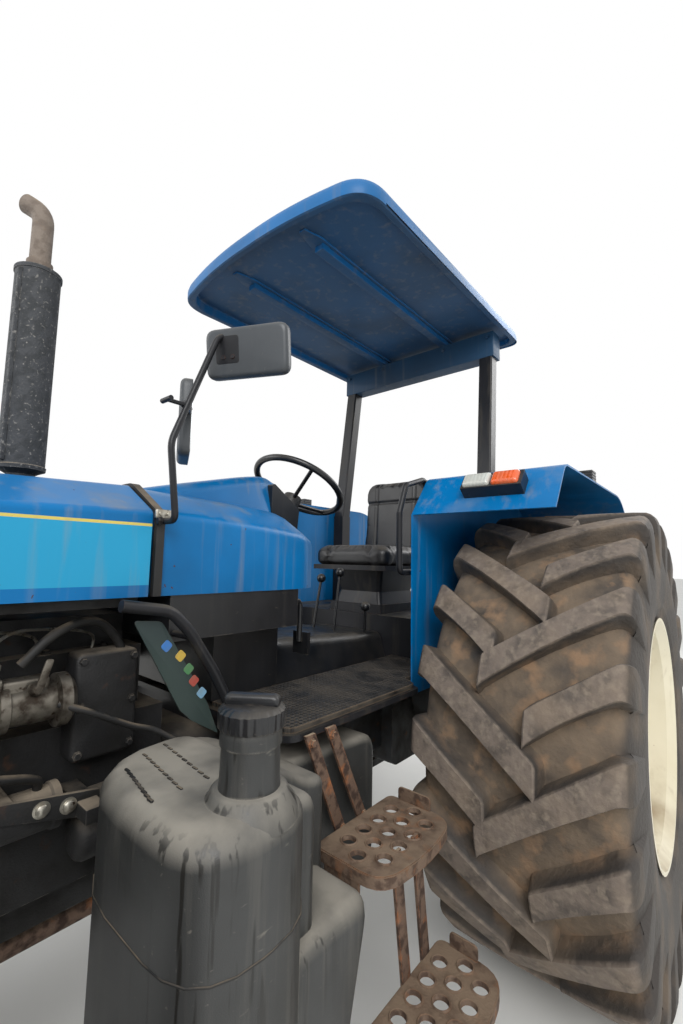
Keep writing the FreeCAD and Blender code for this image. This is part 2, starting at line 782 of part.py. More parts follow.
def rear_hub(side):
    """The rear axle shaft's flange, with the shaft's end in the trumpet."""
    face = side * hub_face_x
    flange = rod((face - side * 18.0, 0, rear_tyre_radius), (face, 0, rear_tyre_radius), 165.0)
    shaft = rod((side * 570.0, 0, rear_tyre_radius), (face + side * 70.0, 0, rear_tyre_radius),
                axle_shaft_radius)
    return join([flange, shaft])


def rear_rim(side):
    """The rear wheel's rim, bolted to the axle shaft's flange."""
    return rim(side * rear_wheel_x, 0.0, rear_tyre_radius, rear_rim_radius,
               rear_rim_half, hub_face_x - rear_wheel_x, 160.0, 40.0, side)


def drive_shaft_guard():
    """The tube over the shaft that drives the front axle."""
    return rod((guard_x, -wheelbase + 106.0, guard_z), (guard_x, clutch_rear_y, guard_z), 31.0)


guard_x = 100.0
guard_z = 533.0


def muffler():
    """The upright muffler with its neck down to the engine."""
    can = spun([(0.0, 0.0), (0.0, muffler_radius - 14.0), (14.0, muffler_radius),
                (muffler_top_z - muffler_low_z - 14.0, muffler_radius),
                (muffler_top_z - muffler_low_z, muffler_radius - 14.0),
                (muffler_top_z - muffler_low_z, 0.0)], 0.0, 0.0, 0.0)
    can.rotate(V(0, 0, 0), V(0, 1, 0), -90)
    can.translate(V(muffler_x, muffler_y, muffler_low_z))
    elbow = [
        (muffler_x - 55.0, muffler_y, engine_top - 40.0), (muffler_x - 55.0, muffler_y, 1400.0),
        (muffler_x, muffler_y, 1500.0),
        (muffler_x, muffler_y, muffler_low_z + 5.0),
    ]
    neck = bent_rod(elbow, 30.0, 60.0)
    foot = box(muffler_x - 95.0, -130.0, muffler_y - 60.0, muffler_y + 60.0, 1060.0, 1130.0)
    return join([can, neck, foot])


def exhaust_pipe():
    """The outlet pipe on the muffler, bent towards the front left at its top."""
    points = [
        (muffler_x, muffler_y, muffler_top_z), (muffler_x, muffler_y, exhaust_top_z - 95.0),
        (muffler_x + 45.0, muffler_y - 45.0, exhaust_top_z),
    ]
    return bent_rod(points, exhaust_radius, 60.0)


def platform():
    """The operator's floor, narrowed behind to pass between the fenders."""
    inner = fender_inner_x - 2.0
    outline = [
        (-platform_half, platform_front_y, 40.0), (platform_half, platform_front_y, 40.0),
        (platform_half, fender_front_y - 46.0, 20.0), (inner, fender_front_y - 10.0, 20.0),
        (inner, platform_rear_y, 0), (-inner, platform_rear_y, 0), (-inner, fender_front_y - 10.0, 20.0),
        (-platform_half, fender_front_y - 46.0, 20.0),
    ]
    low = platform_z - mat_thickness - 16.0
    floor = plate(outline, "z", low, platform_z - mat_thickness)
    front = [platform_front_y + 60.0, platform_rear_y - 60.0]
    beams = []
    for y in front:
        beams.append(box(-gearbox_half - 60.0, gearbox_half + 60.0, y - 30.0, y + 30.0, gearbox_top, low + 1.0))
    return join([floor] + beams)


def floor_mat():
    """The rubber mat on the left and right foot rests."""
    inner = fender_inner_x - 14.0
    mats = []
    for side in (-1, 1):
        outline = [
            (side * 236.0, platform_front_y + 14.0, 0), (side * (platform_half - 12.0), platform_front_y + 14.0, 30.0),
            (side * (platform_half - 12.0), fender_front_y - 56.0, 20.0), (side * inner, fender_front_y - 14.0, 20.0),
            (side * inner, platform_rear_y - 6.0, 0), (side * 236.0, platform_rear_y - 6.0, 0),
        ]
        mats.append(plate(outline, "z", platform_z - mat_thickness, platform_z))
    return Part.makeCompound(mats)


def tunnel_cover():
    """The moulded cover over the gearbox between the foot rests."""
    sections = []
    for y, half, top in ((-985.0, 200.0, 1120.0), (-700.0, 190.0, 1100.0), (platform_rear_y - 4.0, 170.0, 1075.0)):
        corners = [
            (-half - 30.0, platform_z - mat_thickness, 0), (half + 30.0, platform_z - mat_thickness, 0),
            (half, top, 40.0), (-half, top, 40.0),
        ]
        sections.append(rounded(corners, "y", y))
    return Part.makeLoft(sections, True, True)


def rear_deck():
    """The step up behind the foot rests and the deck that carries the seat."""
    half = fender_inner_x
    riser = box(-half, half, platform_rear_y, platform_rear_y + 8.0, platform_z - 30.0, deck_z)
    top = box(-half, half, platform_rear_y, deck_rear_y, deck_z - 8.0, deck_z)
    return join([riser, top])


deck_z = 1144.0
deck_rear_y = 90.0
seat_low_z = 1362.0
seat_half = 235.0
seat_front_y = -390.0
seat_back_y = 20.0


def seat_base():
    """The seat's suspension frame with its bellows and pan."""
    foot = box(-150.0, 150.0, -300.0, 40.0, deck_z, deck_z + 40.0)
    sections = []
    for z, grow in ((deck_z + 38.0, 0.0), (deck_z + 95.0, -18.0), (seat_low_z - 20.0, 6.0)):
        corners = [
            (-140.0 - grow, -290.0 - grow, 20.0), (140.0 + grow, -290.0 - grow, 20.0),
            (140.0 + grow, 30.0 + grow, 20.0), (-140.0 - grow, 30.0 + grow, 20.0),
        ]
        sections.append(rounded(corners, "z", z))
    bellows = Part.makeLoft(sections, True, True)
    pan = box(-seat_half + 20.0, seat_half - 20.0, seat_front_y + 30.0, seat_back_y + 60.0,
              seat_low_z - 22.0, seat_low_z)
    back_plate = box(-150.0, 150.0, seat_back_y + 110.0, seat_back_y + 122.0, seat_low_z - 22.0, 1600.0)
    heel = box(-150.0, 150.0, seat_back_y + 50.0, seat_back_y + 122.0, seat_low_z - 22.0, seat_low_z - 6.0)
    return join([foot, bellows, pan, heel, back_plate])


def seat_cushion():
    """The seat's cushion."""
    outline = [
        (seat_front_y, seat_low_z, 20.0), (seat_front_y, seat_low_z + 96.0, 34.0),
        (seat_back_y, seat_low_z + 80.0, 20.0), (seat_back_y, seat_low_z, 10.0),
    ]
    return plate(outline, "x", -seat_half, seat_half)


def seat_back():
    """The seat's backrest, leaning back a little."""
    lean = 24.0
    outline = [
        (seat_back_y + 6.0, seat_low_z + 20.0, 10.0), (seat_back_y + 6.0 + lean, 1840.0, 40.0),
        (seat_back_y + 110.0, 1840.0, 30.0), (seat_back_y + 110.0, seat_low_z + 20.0, 10.0),
    ]
    return plate(outline, "x", -seat_half, seat_half)


fender_arc = 330.0
fender_lip = 150.0
lip_run = 120.0
fender_low_z = 930.0


def fender(side):
    """A rear fender: inner panel, rounded top and sloped front face, of one sheet."""
    rear_foot_y = fender_rear_y
    rear_foot_z = fender_low_z + 180.0
    rear_shoulder_y = fender_rear_y - 150.0
    top = [
        (fender_front_y, fender_top_z - fender_lip, 0), (fender_front_y + lip_run, fender_top_z, 60.0),
        (rear_shoulder_y, fender_top_z, fender_arc), (rear_foot_y, rear_foot_z, 0),
    ]
    slope = math.hypot(lip_run, fender_lip)
    lip_y = fender_front_y + fender_sheet * fender_lip / slope
    lip_z = fender_top_z - fender_lip - fender_sheet * lip_run / slope
    past = 0.15
    inside = [
        (rear_foot_y - fender_sheet, fender_low_z - 60.0, 0),
        (rear_foot_y - fender_sheet, rear_foot_z, 0),
        (rear_shoulder_y - fender_sheet, fender_top_z - fender_sheet, fender_arc - fender_sheet),
        (lip_y + (fender_top_z - fender_sheet - lip_z) * lip_run / fender_lip, fender_top_z - fender_sheet,
         60.0 - fender_sheet),
        (lip_y - past * lip_run, lip_z - past * fender_lip, 0),
        (lip_y - past * lip_run, fender_low_z - 60.0, 0),
    ]
    xs = sorted((side * fender_inner_x, side * fender_outer_x))
    solid = plate(top, "x", xs[0], xs[1])
    hollow = plate(inside, "x", xs[0] - 1.0, xs[1] + 1.0)
    skin = solid.cut(hollow)
    panel_outline = [
        (fender_front_y, fender_low_z, 20.0), (fender_front_y, fender_top_z - fender_lip, 0),
        (fender_front_y + lip_run, fender_top_z, 60.0), (rear_shoulder_y, fender_top_z, fender_arc),
        (rear_foot_y, rear_foot_z, 20.0), (fender_rear_y - 330.0, fender_low_z, 40.0),
    ]
    wall = sorted((side * fender_inner_x, side * (fender_inner_x + fender_sheet)))
    panel = plate(panel_outline, "x", wall[0], wall[1])
    return join([skin, panel])


def fender_lamps():
    """A lamp block on each fender's front face and a tail lamp on its top."""
    lamps = []
    for side in (-1, 1):
        block = box(-100.0, 100.0, -46.0, 0.0, -32.0, 32.0)
        lean = math.degrees(math.atan2(lip_run, fender_lip))
        block = block.copy().rotate(V(0, 0, 0), V(1, 0, 0), -lean)
        block.translate(V(side * 785.0, fender_front_y + 60.0, fender_top_z - fender_lip / 2.0))
        lamps.append(block)
        lamps.append(box(side * 880.0 - 45.0, side * 880.0 + 45.0, 180.0, 250.0,
                         fender_top_z, fender_top_z + 95.0))
    return Part.makeCompound(lamps)


def grab_rails():
    """A bent hand rail on each fender's inner edge."""
    rails = []
    for side in (-1, 1):
        x = side * (fender_inner_x - 30.0)
        wall = side * (fender_inner_x - 0.0)
        points = [
            (wall, -430.0, 1640.0), (x, -430.0, 1640.0), (x, -470.0, 1700.0), (x, -600.0, 1660.0), (x, -640.0, 1560.0),
            (x, -640.0, 1345.0), (x, -530.0, 1345.0), (wall, -530.0, 1345.0),
        ]
        rails.append(bent_rod(points, 11.0, 22.0))
    return Part.makeCompound(rails)


def rollbar():
    """Two square posts from the axle to the roof and the cross tube between them."""
    half = post_side / 2.0
    pieces = []
    knee_z = 1650.0
    foot_z = rear_tyre_radius + trumpet_radius
    for side in (-1, 1):
        x0 = side * post_foot_x
        x1 = side * post_head_x
        lower = box(x0 - half, x0 + half, post_foot_y - half, post_foot_y + half, foot_z + 20.0, knee_z)
        section = [
            rounded([(x0 - half, post_foot_y - half, 8), (x0 + half, post_foot_y - half, 8),
                     (x0 + half, post_foot_y + half, 8), (x0 - half, post_foot_y + half, 8)], "z", knee_z - 1.0),
            rounded([(x1 - half, post_head_y - half, 8), (x1 + half, post_head_y - half, 8),
                     (x1 + half, post_head_y + half, 8), (x1 - half, post_head_y + half, 8)], "z", post_top_z),
        ]
        upper = Part.makeLoft(section, True, True)
        clamp = box(x0 - 60.0, x0 + 60.0 - 22.0, -90.0, post_foot_y + 60.0, foot_z - 4.0, foot_z + 24.0)
        cheek = box(x0 - 50.0, x0 + 30.0, 60.0, post_foot_y + 50.0, foot_z - 100.0, foot_z)
        pieces += [lower, upper, clamp, cheek]
    pieces.append(box(-post_head_x, post_head_x, post_head_y - half, post_head_y + half,
                      post_top_z - post_side, post_top_z))
    frame = join(pieces)
    return frame.cut(rod((-700.0, 0, rear_tyre_radius), (700.0, 0, rear_tyre_radius), trumpet_radius))


rib_x = 205.0
rib_height = canopy_low_z - post_top_z


def canopy():
    """The roof: a rounded plate with a bowed front and a turned-down rim."""
    top_z = canopy_low_z + canopy_thickness
    half = canopy_half
    low = rounded([
        (-half, canopy_rear_y, 60.0), (-half, canopy_front_y + 60.0, 110.0), (-half * 0.4, canopy_front_y, 200.0),
        (half * 0.4, canopy_front_y, 200.0), (half, canopy_front_y + 60.0, 110.0), (half, canopy_rear_y, 60.0),
    ], "z", canopy_low_z)
    face = Part.Face(low)
    lower = face.extrude(V(0, 0, canopy_thickness * 0.55))
    inset = 26.0
    low2 = rounded([
        (-half, canopy_rear_y, 60.0), (-half, canopy_front_y + 60.0, 110.0), (-half * 0.4, canopy_front_y, 200.0),
        (half * 0.4, canopy_front_y, 200.0), (half, canopy_front_y + 60.0, 110.0), (half, canopy_rear_y, 60.0),
    ], "z", canopy_low_z + canopy_thickness * 0.55)
    top = rounded([
        (-half + inset, canopy_rear_y - inset, 60.0), (-half + inset, canopy_front_y + 60.0 + inset, 110.0),
        (-half * 0.4, canopy_front_y + inset, 200.0), (half * 0.4, canopy_front_y + inset, 200.0),
        (half - inset, canopy_front_y + 60.0 + inset, 110.0), (half - inset, canopy_rear_y - inset, 60.0),
    ], "z", top_z)
    upper = Part.makeLoft([low2, top], True, True)
    return join([lower, upper])


def canopy_ribs():
    """The two channels under the roof that bolt it to the cross tube."""
    ribs = []
    for side in (-1, 1):
        ribs.append(box(side * rib_x - 30.0, side * rib_x + 30.0, canopy_front_y + 110.0,
                        canopy_rear_y - 40.0, post_top_z, canopy_low_z))
    return Part.makeCompound(ribs)


def fuel_tank():
    """The moulded fuel tank on the left, with a neck and a narrow part behind the steps."""
    plan = [
        (tank_inner_x, tank_front_y, 30.0), (tank_outer_x, tank_front_y, 90.0),
        (tank_outer_x, tank_rear_y, 40.0), (tank_inner_x + 35.0, tank_rear_y + 20.0, 40.0),
        (tank_inner_x + 35.0, tank_back_end_y, 30.0), (tank_inner_x - 160.0, tank_back_end_y, 30.0),
        (tank_inner_x - 160.0, tank_front_y + 260.0, 40.0), (tank_inner_x, tank_front_y + 240.0, 40.0),
    ]
    body = plate(plan, "z", tank_low_z, 930.0)
    dome_plan = [
        (tank_inner_x + 10.0, tank_front_y + 10.0, 30.0), (tank_outer_x - 10.0, tank_front_y + 10.0, 90.0),
        (tank_outer_x - 10.0, tank_rear_y - 10.0, 40.0), (tank_inner_x + 10.0, tank_rear_y - 10.0, 40.0),
    ]
    dome_top = [
        (tank_inner_x + 40.0, tank_front_y + 50.0, 30.0), (tank_outer_x - 50.0, tank_front_y + 50.0, 60.0),
        (tank_outer_x - 50.0, tank_rear_y - 40.0, 40.0), (tank_inner_x + 40.0, tank_rear_y - 40.0, 40.0),
    ]
    dome = Part.makeLoft([rounded(dome_plan, "z", 929.0), rounded(dome_top, "z", tank_top_z)], True, True)
    neck = rod((neck_x, neck_y, tank_top_z - 30.0), (neck_x, neck_y, neck_top_z), 50.0)
    return join([body, dome, neck])


tank_back_end_y = -860.0
neck_x = 730.0
neck_y = -1488.0
neck_top_z = 1110.0


def tank_cradle():
    """The straps' cradle that hangs the fuel tank from the clutch housing and gearbox."""
    pieces = []
    for y in (-1300.0, -1000.0):
        pieces.append(box(gearbox_half - 2.0, tank_inner_x - 160.0, y - 25.0, y + 25.0, 700.0, 760.0))
    return pieces


def filler_cap():
    """The screw cap on the tank's neck."""
    return rod((neck_x, neck_y, neck_top_z), (neck_x, neck_y, neck_top_z + 42.0), 62.0)


def steps():
    """Two rounded treads hung from the platform by flat bars."""
    pieces = []
    for inner, outer, y0, y1, z in step_rows:
        outline = [(inner, y0, 20.0), (inner, y1, 20.0), (outer, y1 - 30.0, 90.0), (outer, y0 + 30.0, 90.0)]
        rim_plate = plate(outline, "z", z - 26.0, z)
        inset = 6.0
        well = [
            (inner + inset, y0 + inset, 14.0), (inner + inset, y1 - inset, 14.0),
            (outer - inset, y1 - 30.0 - inset, 84.0), (outer - inset, y0 + 30.0 + inset, 84.0),
        ]
        pieces.append(rim_plate.cut(plate(well, "z", z - 27.0, z - 6.0)))
    upper = step_rows[0]
    lower = step_rows[1]
    for y in (-1150.0, -1060.0):
        bar = [
            (560.0, 955.0, 0), (upper[0] + 14.0, upper[4] + 20.0, 30.0), (upper[0] + 14.0, upper[4] - 20.0, 0),
            (upper[0] + 2.0, upper[4] - 20.0, 0), (upper[0] + 2.0, upper[4] + 24.0, 20.0), (546.0, 955.0, 0),
        ]
        pieces.append(plate(bar, "y", y - 22.0, y + 22.0))
        hanger = [
            (upper[0] + 60.0, upper[4] - 8.0, 0), (lower[0] + 20.0, lower[4] + 40.0, 30.0),
            (lower[0] + 20.0, lower[4] - 20.0, 0), (lower[0] + 6.0, lower[4] - 20.0, 0),
            (lower[0] + 6.0, lower[4] + 44.0, 20.0), (upper[0] + 46.0, upper[4] - 8.0, 0),
        ]
        pieces.append(plate(hanger, "y", y - 22.0, y + 22.0))
    return join(pieces)


# Columns: inner and outer X, front and rear Y, height of the tread
step_rows = [
    (592.0, 775.0, -1160.0, -845.0, 715.0),
    (700.0, 890.0, -1160.0, -850.0, 415.0),
]


def side_shield():
    """The slanted plate ahead of the platform that carries the notices."""
    outline = [(-1548.0, 1075.0, 0), (-1548.0, 1250.0, 12.0), (-1480.0, 1250.0, 12.0), (-1450.0, 1045.0, 0)]
    return plate(outline, "x", 400.5, 405.0)


def side_rail():
    """The bent tube on the left that carries the shield plate."""
    points = [(cover_half, -1400.0, 1262.0), (417.0, -1400.0, 1262.0), (417.0, -1470.0, 1100.0),
              (417.0, -1310.0, 963.0), (417.0, platform_front_y, 963.0)]
    return bent_rod(points, 13.0, 35.0)


def mirror_arm(side):
    """The mirror's arm, clamped to the band at the hood's seam."""
    x = side * 337.0
    points = [(x, hood_rear_y + 18.0, 1465.0), (side * 372.0, hood_rear_y + 18.0, 1465.0),
              (side * 385.0, hood_rear_y + 20.0, 1660.0), (side * 430.0, -1384.0, 1870.0),
              (side * 470.0, -1384.0, 1880.0)]
    return bent_rod(points, 8.0, 22.0)


def mirror_head(side):
    """The mirror's shell with its glass facing back."""
    outline = [
        (side * 470.0 - 150.0, 1795.0, 30.0), (side * 470.0 + 150.0, 1795.0, 30.0),
        (side * 470.0 + 150.0, 1965.0, 30.0), (side * 470.0 - 150.0, 1965.0, 30.0),
    ]
    return plate(outline, "y", -1382.0, -1345.0)


def mirror(side):
    """One mirror with its arm."""
    return join([mirror_arm(side), mirror_head(side)])


def pedals():
    """Clutch and brake pedals with their arms from the firewall cover."""
    pieces = []
    for x, half in ((-310.0, 22.0), (-258.0, 22.0), (278.0, 34.0)):
        pad = box(x - half, x + half, -930.0, -918.0, 1080.0, 1150.0)
        arm = bent_rod([(x, -990.0, 1250.0), (x, -935.0, 1250.0), (x, -935.0, 1120.0)], 9.0, 20.0)
        pieces.append(join([pad, arm]))
    return pieces


def levers():
    """The gear lever and hand levers beside the seat and on the tunnel."""
    rows = (
        (60.0, -520.0, 1085.0, 60.0, -480.0, 1330.0),
        (-60.0, -520.0, 1085.0, -60.0, -470.0, 1300.0),
        (150.0, -420.0, 1079.0, 170.0, -440.0, 1190.0),
    )
    pieces = []
    for x0, y0, z0, x1, y1, z1 in rows:
        stick = rod((x0, y0, z0 - 30.0), (x1, y1, z1), 6.0)
        knob = Part.makeSphere(20.0, V(x1, y1, z1))
        pieces.append(join([stick, knob]))
    return Part.makeCompound(pieces).cut(tunnel_cover())


def lift_housing():
    """The hydraulic lift's housing on the axle, with the sleeve for the lift shaft."""
    body = plate([
        (-200.0, 990.0, 0), (265.0, 990.0, 0), (265.0, 1080.0, 40.0), (190.0, 1136.0, 40.0), (-200.0, 1136.0, 20.0),
    ], "x", -150.0, 150.0)
    tube = rod((-lift_plane_x + 44.0, link_pivot_y, lift_pivot_z), (lift_plane_x - 44.0, link_pivot_y, lift_pivot_z), 52.0)
    whole = join([body, tube])
    return whole.cut(rod((-400.0, link_pivot_y, lift_pivot_z), (400.0, link_pivot_y, lift_pivot_z),
                         lift_shaft_radius + shaft_clearance))


lift_shaft_radius = 28.0
rod_plane_x = 342.0


def tip_of(degrees, distance, y, z):
    """The point at a distance along a link that leans by an angle above level."""
    angle = math.radians(degrees)
    return y + distance * math.cos(angle), z + distance * math.sin(angle)


def lift_arms():
    """The lift shaft with its two arms and the pins for the lift rods."""
    y, z = tip_of(link_rest_deg, link_lift_at, link_pivot_y, lift_pivot_z)
    pieces = [rod((-lift_plane_x, link_pivot_y, lift_pivot_z), (lift_plane_x, link_pivot_y, lift_pivot_z),
                  lift_shaft_radius)]
    for side in (-1, 1):
        x = sorted((side * (lift_plane_x - 36.0), side * (lift_plane_x - 8.0)))
        arm = [(link_pivot_y - 48.0, lift_pivot_z - 48.0, 44.0), (link_pivot_y + link_lift_at + 26.0, lift_pivot_z - 26.0, 24.0),
               (link_pivot_y + link_lift_at + 26.0, lift_pivot_z + 26.0, 24.0), (link_pivot_y - 48.0, lift_pivot_z + 48.0, 44.0)]
        pieces.append(turned_x(plate(arm, "x", x[0], x[1]), link_rest_deg, link_pivot_y, lift_pivot_z))
        pieces.append(rod((x[0] + 2.0, y, z) if side > 0 else (x[1] - 2.0, y, z),
                          (side * (rod_plane_x + 16.0), y, z), lift_pin_radius))
    return join(pieces)


def lift_rod(side):
    """A lift rod with an eye at each end and its adjusting sleeve."""
    y, z_top = tip_of(link_rest_deg, link_lift_at, link_pivot_y, lift_pivot_z)
    z_low = z_top - (lift_pivot_z - link_pivot_z)
    x = side * rod_plane_x
    pieces = [rod((x, y, z_low), (x, y, z_top), 13.0), rod((x, y, z_low + 130.0), (x, y, z_top - 120.0), 21.0)]
    for z in (z_low, z_top):
        pieces.append(rod((x - 12.0, y, z), (x + 12.0, y, z), 30.0))
    body = join(pieces)
    for z in (z_low, z_top):
        body = body.cut(rod((x - 30.0, y, z), (x + 30.0, y, z), lift_pin_radius + shaft_clearance))
    return body


def lower_link(side):
    """A lower link: a flat bar with a front eye, the lift rod's pin and a rear ball eye."""
    y_end = link_pivot_y + link_length
    half = 10.0
    x0 = side * link_pivot_x
    x1 = side * link_end_x
    bar = Part.makePolygon([
        V(x0 - half, link_pivot_y + 20.0, link_pivot_z - 30.0), V(x0 + half, link_pivot_y + 20.0, link_pivot_z - 30.0),
        V(x1 + half, y_end - 30.0, link_pivot_z - 30.0), V(x1 - half, y_end - 30.0, link_pivot_z - 30.0),
        V(x0 - half, link_pivot_y + 20.0, link_pivot_z - 30.0),
    ])
    pieces = [Part.Face(bar).extrude(V(0, 0, 60.0))]
    pieces.append(rod((x0 - 12.0, link_pivot_y, link_pivot_z), (x0 + 12.0, link_pivot_y, link_pivot_z), 36.0))
    pieces.append(rod((x1 - 22.0, y_end, link_pivot_z), (x1 + 22.0, y_end, link_pivot_z), link_eye_radius))
    at = link_lift_at
    x_bar = side * (link_pivot_x + (link_end_x - link_pivot_x) * at / link_length)
    pieces.append(rod((x_bar, link_pivot_y + at, link_pivot_z),
                      (side * (rod_plane_x + 16.0), link_pivot_y + at, link_pivot_z), lift_pin_radius))
    body = join(pieces)
    body = body.cut(rod((x0 - 40.0, link_pivot_y, link_pivot_z), (x0 + 40.0, link_pivot_y, link_pivot_z),
                        14.0 + shaft_clearance))
    body = body.cut(rod((x1 - 40.0, y_end, link_pivot_z), (x1 + 40.0, y_end, link_pivot_z), link_bore / 2.0))
    return turned_x(body, link_rest_deg, link_pivot_y, link_pivot_z)


def top_link():
    """The top link, standing out behind its pin."""
    pieces = [
        rod((0, top_link_y, top_link_z), (0, top_link_y + top_link_length, top_link_z), 15.0),
        rod((0, top_link_y + 130.0, top_link_z), (0, top_link_y + top_link_length - 130.0, top_link_z), 23.0),
        rod((-14.0, top_link_y, top_link_z), (14.0, top_link_y, top_link_z), 30.0),
        rod((-22.0, top_link_y + top_link_length, top_link_z), (22.0, top_link_y + top_link_length, top_link_z), 30.0),
    ]
    body = join(pieces)
    body = body.cut(rod((-40.0, top_link_y, top_link_z), (40.0, top_link_y, top_link_z),
                        top_link_bore / 2.0 + shaft_clearance))
    body = body.cut(rod((-40.0, top_link_y + top_link_length, top_link_z),
                        (40.0, top_link_y + top_link_length, top_link_z), top_link_bore / 2.0))
    return turned_x(body, top_link_rest_deg, top_link_y, top_link_z)


def pto_shaft():
    """The power take-off shaft: its journal in the housing, a relief groove and the stub."""
    shoulder_y = axle_centre_rear_y + pto_shoulder
    journal = rod((0, 180.0, pto_z), (0, shoulder_y, pto_z), pto_journal_radius)
    relief = rod((0, shoulder_y - 1.0, pto_z), (0, shoulder_y + pto_relief, pto_z), pto_radius - 2.5)
    stub = rod((0, shoulder_y + pto_relief, pto_z), (0, pto_end_y, pto_z), pto_radius)
    return join([journal, relief, stub])


def drawbar():
    """The drawbar under the axle with its hanger and pin hole."""
    bar = box(-38.0, 38.0, axle_centre_front_y + 40.0, drawbar_end_y, drawbar_z - 16.0, drawbar_z + 16.0)
    hangers = [
        box(-60.0, 60.0, axle_centre_rear_y - 70.0, axle_centre_rear_y - 30.0, drawbar_z - 30.0, 520.0),
        box(-50.0, 50.0, axle_centre_front_y + 50.0, axle_centre_front_y + 90.0, drawbar_z - 24.0, 520.0),
    ]
    body = join([bar] + hangers)
    return body.cut(rod((0, drawbar_end_y - 45.0, drawbar_z - 30.0), (0, drawbar_end_y - 45.0, drawbar_z + 30.0),
                        drawbar_hole / 2.0))


def battery_box():
    """The battery and tool box on the right, hung from the platform."""
    body = plate([(-1280.0, 690.0, 20.0), (-900.0, 690.0, 20.0), (-900.0, 945.0, 20.0), (-1280.0, 945.0, 20.0)],
                 "x", -540.0, -330.0)
    hangers = []
    for y in (-1220.0, -960.0):
        hangers.append(box(-500.0, -360.0, y - 15.0, y + 15.0, 944.0, 955.0))
    return join([body] + hangers)


def rear_end():
    """How far the tractor reaches behind the rear axle at rest."""
    y, _ = tip_of(link_rest_deg, link_length, link_pivot_y, link_pivot_z)
    return y + link_eye_radius


origin_y = (rear_end() + weight_front_y) / 2.0


def nodes():
    """Every piece with its name."""
    table = {
        "front_frame": front_frame(),
        "front_weights": front_weights(),
        "front_axle_beam": join([front_axle_beam(), steer_cylinder()]),
        "steer_rod": steer_rod(),
        "tie_rod": tie_rod(),
        "engine_block": join([engine_block(), oil_sump()]),
        "engine_fittings": Part.makeCompound([injection_pump(), starter_motor()]),
        "radiator": radiator(),
        "gearbox": join([clutch_housing(), gearbox()] + tank_cradle()),
        "rear_axle": join([rear_axle(), lift_housing()]),
        "drive_shaft_guard": drive_shaft_guard(),
        "hood_shell": hood_shell(),
        "hood_grille": hood_grille(),
        "headlamps": headlamps(),
        "hood_arch": hood_arch(),
        "cowl": cowl(),
        "dash_panel": join([dash_panel(), steering_column()]),
        "steering_wheel": steering_wheel(),
        "muffler": join([muffler(), exhaust_pipe()]),
        "platform": join([platform(), rear_deck()]),
        "floor_mat": floor_mat(),
        "tunnel_cover": join([tunnel_cover(), firewall_cover()]),
        "seat_base": seat_base(),
        "seat_cushion": seat_cushion(),
        "seat_back": seat_back(),
        "fenders": Part.makeCompound([fender(1), fender(-1)]),
        "fender_lamps": fender_lamps(),
        "grab_rails": grab_rails(),
        "rollbar": rollbar(),
        "canopy": join([canopy(), canopy_ribs()]),
        "fuel_tank": fuel_tank(),
        "filler_cap": filler_cap(),
        "steps": steps(),
        "side_shield": join([side_shield(), side_rail()]),
        "mirrors": Part.makeCompound([mirror(1), mirror(-1)]),
        "controls": Part.makeCompound([levers()] + pedals()),
        "lift_arms": lift_arms(),
        "top_link": top_link(),
        "pto_shaft": pto_shaft(),
        "drawbar": drawbar(),
        "battery_box": battery_box(),
    }
    for name, side in (("left", 1), ("right", -1)):
        table["knuckle_" + name] = knuckle(side)
        table["front_rim_" + name] = join([front_rim(side), front_hub(side)])
        table["front_tyre_" + name] = tyre(side * front_wheel_x, -wheelbase, front_tyre_radius,
                                           front_tyre_width, front_rim_radius, front_rim_half)
        table["rear_rim_" + name] = join([rear_rim(side), rear_hub(side)])
        table["rear_tyre_" + name] = tyre(side * rear_wheel_x, 0.0, rear_tyre_radius,
                                          rear_tyre_width, rear_rim_radius, rear_rim_half)
        table["lift_rod_" + name] = lift_rod(side)
        table["lower_link_" + name] = lower_link(side)
    return table


def main():
    os.makedirs("parts", exist_ok=True)
    for name, shape in nodes().items():
        moved = shape.copy()
        moved.translate(V(0, -origin_y, 0))
        moved.exportStep("parts/" + name + ".step")
    print("pieces written, rear axle at Y", -origin_y)


if __name__ == "__main__":
    main()
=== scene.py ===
import json
import math

import bmesh
import bpy
import numpy as np
from mathutils import Matrix, Vector


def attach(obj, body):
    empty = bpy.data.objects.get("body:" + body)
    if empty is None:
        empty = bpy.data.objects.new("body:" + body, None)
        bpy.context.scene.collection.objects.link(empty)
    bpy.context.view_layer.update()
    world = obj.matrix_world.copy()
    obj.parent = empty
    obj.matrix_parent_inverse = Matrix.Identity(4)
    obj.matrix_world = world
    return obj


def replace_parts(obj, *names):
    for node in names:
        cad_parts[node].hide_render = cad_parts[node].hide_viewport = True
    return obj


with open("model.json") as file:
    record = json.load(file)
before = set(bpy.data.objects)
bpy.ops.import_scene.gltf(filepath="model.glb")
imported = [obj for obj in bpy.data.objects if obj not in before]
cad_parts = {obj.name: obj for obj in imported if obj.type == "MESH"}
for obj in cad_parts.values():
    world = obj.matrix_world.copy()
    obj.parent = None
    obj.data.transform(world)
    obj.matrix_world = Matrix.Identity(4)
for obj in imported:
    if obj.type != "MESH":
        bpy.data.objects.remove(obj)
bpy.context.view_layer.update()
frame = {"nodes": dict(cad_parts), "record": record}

# Places are written in millimetres, with X to the tractor's left, Y = 0 at the rear axle and
# Z = 0 on the ground. The frame counts Y from the middle of the tractor's length.
MM = 0.001
AXLE_Y = 1.029268

# Camera: the frame's size in pixels, the focal length in pixels, its place and its turns
IMAGE_HEIGHT = 1024
FOCAL_PIXELS = 455.0
LONG_SIDE_MM = 36.0
CAMERA_PLACE = (1.36, -2.005 + AXLE_Y, 1.386)
CAMERA_TURN = math.radians(40.416)
CAMERA_PITCH = math.radians(5.962)
CAMERA_ROLL = math.radians(1.098)


